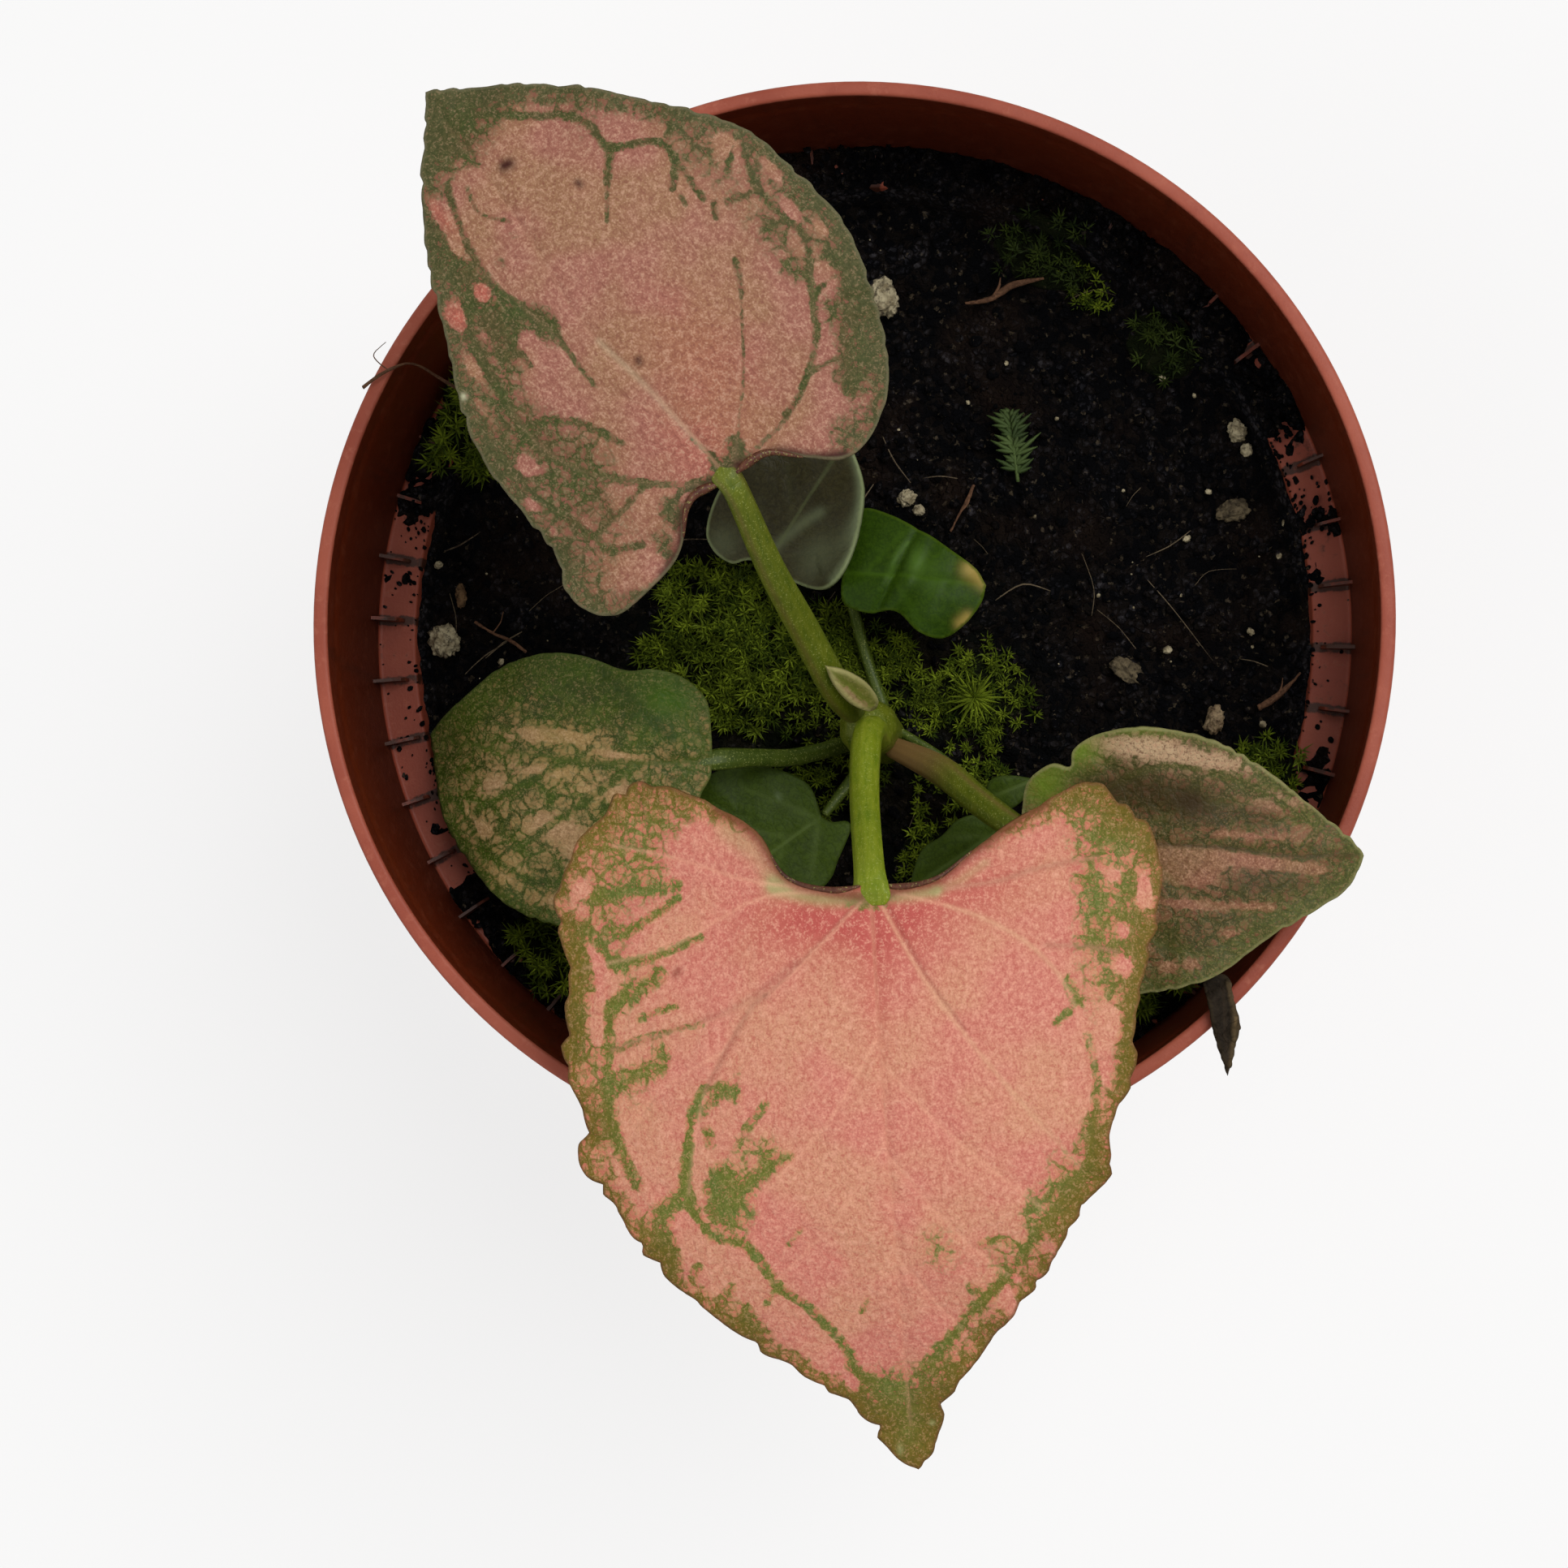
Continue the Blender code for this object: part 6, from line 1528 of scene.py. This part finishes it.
def add_litter():
    add_grains({"perlite": grain_material("perlite", (184, 172, 140), (124, 112, 86), (60, 52, 42)),
                "bark": grain_material("bark", (104, 92, 70), (58, 50, 38), (26, 22, 18)),
                "stone": grain_material("brown_stone", (150, 130, 100), (92, 74, 54), (44, 32, 24)),
                "wood": grain_material("dry_wood", (118, 92, 64), (70, 50, 34), (40, 29, 22))})
    add_twigs(bark_material("twig_bark", (112, 80, 58), (48, 30, 22)),
              bark_material("dry_fibre", (112, 98, 76), (52, 42, 34)))
    add_sprig(moss_material("sprig_leaf", (96, 114, 62), (40, 56, 24), (22, 34, 14)))


# ---- build ----
def look(**colours):
    """A leaf's colours, with the values that most leaves share."""
    shared = dict(gloss=0.5, sheen=0.14, relief=0.45, speckle=0.6, vein_mix=0.4, rust=(112, 52, 34),
                  halo=colours["tan"], halo_mix=0.6)
    return {**shared, **colours}


def plain_look(main, light, dark, **others):
    """A blade without pink: one colour with lighter and darker shades of it."""
    second = tuple(1.15 * value for value in main)
    return look(ground=main, tan=main, blush=main, green=main, second_green=second, margin_green=second,
                light=light, light_green=light, dark=dark, net_green=dark, midrib=others["vein"], **others)


FRONT_LOOK = look(
    ground=(214, 134, 116), tan=(214, 152, 120), light=(238, 174, 148), dark=(188, 96, 84),
    blush=(192, 86, 80), green=(106, 116, 44), second_green=(98, 118, 52), margin_green=(112, 92, 24),
    net_green=(80, 88, 24), light_green=(146, 144, 70), edge=(112, 76, 42), vein=(240, 178, 146),
    midrib=(172, 82, 66), pale=(168, 170, 112), gloss=0.58, vein_mix=0.6, halo=(194, 136, 84),
    halo_mix=0.55)
UPPER_LOOK = look(
    ground=(164, 108, 92), tan=(156, 116, 84), light=(204, 160, 134), dark=(132, 78, 66),
    blush=(184, 96, 80), green=(64, 76, 32), second_green=(84, 76, 42), margin_green=(78, 80, 46),
    net_green=(42, 52, 20), light_green=(112, 112, 68), edge=(108, 104, 76), vein=(184, 142, 112),
    midrib=(184, 136, 108), pale=(206, 206, 170), rust=(56, 22, 16), gloss=0.58, vein_mix=0.2,
    halo=(118, 88, 60), halo_mix=0.85, speckle=0.62)
RIGHT_LOOK = look(
    ground=(150, 100, 76), tan=(138, 104, 70), light=(190, 144, 114), dark=(108, 66, 48),
    blush=(200, 172, 134), green=(70, 72, 28), second_green=(62, 60, 28), margin_green=(86, 92, 42),
    net_green=(40, 44, 16), light_green=(112, 110, 58), edge=(142, 138, 88), vein=(100, 102, 48),
    midrib=(70, 50, 32), pale=(104, 128, 26), rust=(54, 40, 16), gloss=0.44, vein_mix=0.35,
    halo=(106, 82, 46), speckle=0.7)
LEFT_LOOK = look(
    ground=(168, 132, 96), tan=(164, 134, 84), light=(198, 164, 124), dark=(122, 96, 60),
    blush=(150, 90, 80), green=(58, 80, 14), second_green=(46, 62, 16), margin_green=(64, 82, 24),
    net_green=(32, 46, 10), light_green=(88, 100, 38), edge=(84, 98, 46), vein=(84, 96, 38),
    midrib=(76, 84, 34), pale=(60, 96, 8), rust=(36, 52, 12), gloss=0.4, sheen=0.1, vein_mix=0.35,
    halo=(138, 120, 66))
DARK_LOOK = plain_look((44, 40, 22), (60, 60, 37), (28, 26, 13), edge=(124, 134, 92), vein=(80, 86, 54),
                       pale=(122, 132, 98), gloss=0.36, sheen=0.1, relief=0.25, speckle=0.5, vein_mix=0.1)
# The curled leaf's pale colour is for painted highlights.
BRIGHT_LOOK = plain_look((38, 59, 4), (62, 85, 14), (25, 44, 2), edge=(70, 92, 20), vein=(60, 88, 12),
                         pale=(88, 122, 44), rust=(160, 138, 70), sheen=0.1, relief=0.12, speckle=0.25)
LOW_LOOK = plain_look((55, 71, 17), (73, 91, 33), (36, 50, 12), edge=(56, 70, 24), vein=(86, 104, 46),
                      pale=(100, 116, 80), gloss=0.45, sheen=0.08, relief=0.2, speckle=0.35)
SCRAP_LOOK = plain_look((36, 31, 25), (62, 53, 42), (19, 15, 12), edge=(62, 52, 38), vein=(58, 48, 38),
                        pale=(150, 124, 86), gloss=0.8, sheen=0.08, relief=0.8, speckle=0.55)
SHEATH_LOOK = look(
    ground=(164, 134, 98), tan=(154, 126, 86), light=(192, 164, 126), dark=(116, 88, 52),
    blush=(170, 140, 108), green=(94, 106, 26), second_green=(106, 114, 36),
    margin_green=(122, 122, 52), net_green=(72, 84, 18), light_green=(136, 142, 64),
    edge=(170, 162, 106), vein=(114, 122, 50), midrib=(102, 112, 40), pale=(172, 168, 104), gloss=0.45,
    relief=0.3, speckle=0.4)


def folded(plan):
    """The crease across the curled young leaf, the bulge beyond it and the dip before the tip."""
    s, t = plan.T
    past = s - 4.5 - 0.38 * t
    lift = 0.75 * np.exp(-((past - 1.5) / 1.1) ** 2) - 0.5 * np.exp(-(past / 0.4) ** 2)
    lift -= 0.3 * np.exp(-((past - 4.4) / 0.9) ** 2)
    return lift * np.exp(-(t / 4.5) ** 2)


def crumpled(plan):
    """The twist and creases of the dead scrap."""
    s, t = plan.T
    return 0.3 * np.sin(1.7 * s) * t + 0.16 * np.sin(5.0 * s + 3.0 * t)


def add_leaves():
    """All blades; gives their edges by leaf."""
    pale_back = underside_material("pale_underside", (168, 140, 100), (140, 142, 90), (176, 176, 122))
    green_back = underside_material("green_underside", (98, 116, 64), (112, 126, 76), (136, 150, 92))
    dead_back = underside_material("dead_underside", (44, 38, 31), (60, 50, 40), (84, 70, 54))
    low_top = leaf_material("low_left_blade_top", LOW_LOOK)
    rows = [("front", FRONT, FRONT_LOOK, pale_back, "pink_leaf"),
            ("upper_left", UPPER_LEFT, UPPER_LOOK, pale_back, "pink_leaf"),
            ("right", RIGHT, RIGHT_LOOK, green_back, "green_leaf"),
            ("left", LEFT, LEFT_LOOK, green_back, "green_leaf"),
            ("dark", DARK, DARK_LOOK, green_back, "dark_leaf"),
            ("curled", dict(CURLED, fold=folded), BRIGHT_LOOK, green_back, "bright_leaf"),
            ("low_left", LOW_LEFT, LOW_LOOK, green_back, "green_leaf"),
            ("low_right", LOW_RIGHT, LOW_LOOK, green_back, "dark_leaf"),
            ("tiny", TINY, LOW_LOOK, green_back, "bright_leaf")]
    edges = {}
    for leaf, spec, colours, back, slot in rows:
        top = low_top if colours is LOW_LOOK else leaf_material(leaf + "_blade_top", colours)
        edges[leaf] = add_blade(leaf + "_blade_fine", spec, leaf + "_leaf_blade", top, back, slot)
    sheath_top = leaf_material("sheath_top", SHEATH_LOOK)
    add_blade("sheath_fine", SHEATH, "sheath_upper_left", sheath_top, green_back, "green_leaf")
    scrap_top = leaf_material("scrap_top", SCRAP_LOOK)
    add_blade("scrap_fine", dict(SCRAP, fold=crumpled), "withered_scrap", scrap_top, dead_back, "dead_plant")
    return edges


def add_stalks(edges):
    bright = stalk_material("stalk_bright", (106, 124, 14), (128, 140, 32), (88, 112, 12))
    olive = stalk_material("stalk_olive", (78, 92, 12), (100, 108, 24), (62, 80, 10))
    # stalk_shade is the stalk colour darkened as painted shade, for the stalks that lie under the leaves.
    shade = stalk_material("stalk_shade", (54, 70, 14), (70, 84, 24), (42, 60, 10))
    thin = dict(material=shade, sides=18, steps=8)
    rows = [
        ("front", [(2.4, -9.7, 69.5), (2.1, -9.1, 74), (1.9, -10.4, 77.6), (2.1, -14.9, 82.6),
                   (2.9, -20.4, 89.5), (3.1, -22, 90.75), (3.16, -22.9, 91), (3.2, -23.5, 91)],
         [1.05, (1.25, 1.2), (1.28, 1.2), (1.22, 1.1), (1.25, 0.95), (1.45, 0.75), (1.6, 0.4), (1.1, 0.12)],
         dict(material=bright, groove=0.16, brown=0.75)),
        ("upper_left", [(0.5, -7.5, 69.5), (-0.6, -6, 75.5), (-2.8, -1.4, 82), (-4.8, 2.8, 88.6),
                        (-6.5, 7.4, 95.2), (-7.15, 8.7, 96.3), (-7.7, 9.4, 96.65), (-8.05, 9.85, 96.7)],
         [1.05, (1.3, 1.25), (1.25, 1.2), (1.12, 1.1), (1, 0.95), (1.05, 0.7), (1.1, 0.35), (0.7, 0.12)],
         dict(material=olive, groove=0.12, brown=0.3, red=1.0)),
        ("right", [(3.4, -10.2, 66), (7.6, -12.3, 70), (10.8, -14.9, 74), (13.8, -17.1, 77.9),
                   (15.4, -17.8, 78.9)], [0.9, 1.25, 1.2, (1.1, 1), (1, 0.5)],
         dict(material=olive, brown=0.5, husk=0.3)),
        ("left", [(-0.6, -9.6, 60.6), (-5, -10.9, 64.2), (-8.5, -11.1, 67.2), (-11, -11.3, 69.2),
                  (-13, -11.6, 70.1)], [0.7, 0.75, 0.8, (0.95, 0.7), (0.7, 0.2)], dict(material=shade)),
        ("dark", [(-0.6, -7.8, 62.2), (-3.4, -2, 62.9), (-7.2, 5.9, 63.5)], [0.55, 0.5, 0.4], thin),
        ("curled", [(2.2, -6.4, 59.6), (0.4, -1, 59.8), (-0.8, 4.8, 62.6)], [0.55, 0.5, 0.5], thin),
        ("low_left", [(0.8, -11, 60.2), (-1.2, -13.8, 61.6), (-2.8, -15.9, 62.2)], [0.55, 0.5, 0.4], thin),
        ("low_right", [(3.8, -10, 61.9), (8.2, -13.6, 62.2), (12.4, -17.1, 62.5)], [0.5, 0.45, 0.4], thin),
        ("tiny", [(3.8, -8.7, 63.3), (7.8, -11.2, 63.9), (11.2, -14.4, 63.9)], [0.4, 0.35, 0.3], thin)]
    for leaf, route, radii, options in rows:
        add_stalk(leaf + "_stalk", leaf + "_leaf_stalk", route, radii, **options)
    add_stalk("crown", "crown_stem",
              [(2.4, -9.6, 54.5), (1.9, -9, 62), (1.5, -8.7, 68.6), (1.5, -8.7, 70.6)],
              [2, 2.2, 2.5, 1.7], olive, groove=0.05, sides=28, steps=10)
    rim = stalk_material("leaf_rim", (78, 42, 30), (98, 58, 42), (54, 28, 20))
    for side in ("left", "right"):
        add_edge_roll(f"front_rim_{side}", edges["front"], side, 9.0,
                      [0.1, 0.28, 0.22, 0.18, 0.14, 0.08], rim)
        add_edge_roll(f"upper_left_rim_{side}", edges["upper_left"], side, 6.5,
                      [0.15, 0.4, 0.34, 0.26, 0.18, 0.08], rim)


# Lamps: place, size and power. The lamps and the floor are in metres, the camera is in millimetres.
LAMPS = {"key": ((0.40, 0.28, 0.95), 0.6, 6.8), "fill": ((-0.50, -0.35, 0.80), 0.8, 2.0)}
LAMP_AIM = (0.0, 0.0, 0.07)
SKY = 0.27
FLOOR_SIZE = 16.0
FLOOR_GLOW = 0.75
CAMERA_PLACE = (18.4, -21.4, 325.0)
CAMERA_AIM = (-5.1, -13.6, 75.0)
LENS = 69.7
SENSOR = 36.0


def add_floor():
    """A white floor that shows as white to the camera and keeps the pot's shadow."""
    bpy.ops.mesh.primitive_plane_add(size=FLOOR_SIZE, location=(0.0, 0.0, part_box("pot")[0][2]))
    floor = bpy.context.active_object
    floor.name = "floor"
    paper = Shader("floor_paper", 0.9)
    paper.finish(paper.layers((244, 243, 241), (paper.noise(paper.place(), 0.03), (247, 246, 245))))
    lit = paper.times(paper.ray("Camera"), FLOOR_GLOW)
    glow = paper.node("Emission", {}, 0)
    blend = paper.node("MixShader", {0: lit, 1: paper.surface.outputs[0], 2: glow}, 0)
    paper.feed(paper.tree.nodes["Material Output"].inputs["Surface"], blend)
    floor.data.materials.append(paper.material)


def add_lights():
    """Two soft lamps and a white sky that is dim except to the camera and in reflections."""
    for name, (place, size, power) in LAMPS.items():
        lamp = bpy.data.lights.new(name, "AREA")
        lamp.size = size
        lamp.energy = power
        light = bpy.data.objects.new(name, lamp)
        light.location = place
        light.rotation_euler = (Vector(LAMP_AIM) - Vector(place)).to_track_quat("-Z", "Y").to_euler()
        bpy.context.scene.collection.objects.link(light)
    world = bpy.data.worlds.new("studio")
    sky = Nodes(world)
    seen = sky.math("MAXIMUM", sky.ray("Camera"), sky.ray("Glossy"))
    background = sky.tree.nodes["Background"]
    sky.feed(background.inputs["Strength"], sky.node("MapRange", {"Value": seen, "To Min": SKY}, 0))
    sky.feed(background.inputs["Color"], (255, 255, 255))
    bpy.context.scene.world = world


def add_camera():
    """The camera that looks down into the pot."""
    lens = bpy.data.cameras.new("camera")
    lens.lens = LENS
    lens.sensor_width = SENSOR
    camera = bpy.data.objects.new("camera", lens)
    place = Vector(CAMERA_PLACE) * MM
    forward = (Vector(CAMERA_AIM) * MM - place).normalized()
    right = forward.cross(Vector((0.0, 1.0, 0.0))).normalized()
    turn = Matrix((right, right.cross(forward), -forward)).transposed()
    camera.matrix_world = Matrix.Translation(place) @ turn.to_4x4()
    bpy.context.scene.collection.objects.link(camera)
    bpy.context.scene.camera = camera
    bpy.context.scene.view_settings.view_transform = "Standard"


add_pot()
peat = add_soil()
add_drift(peat)
add_crumbs(peat)
add_stalks(add_leaves())
add_moss(peat)
add_litter()
add_floor()
add_lights()
add_camera()
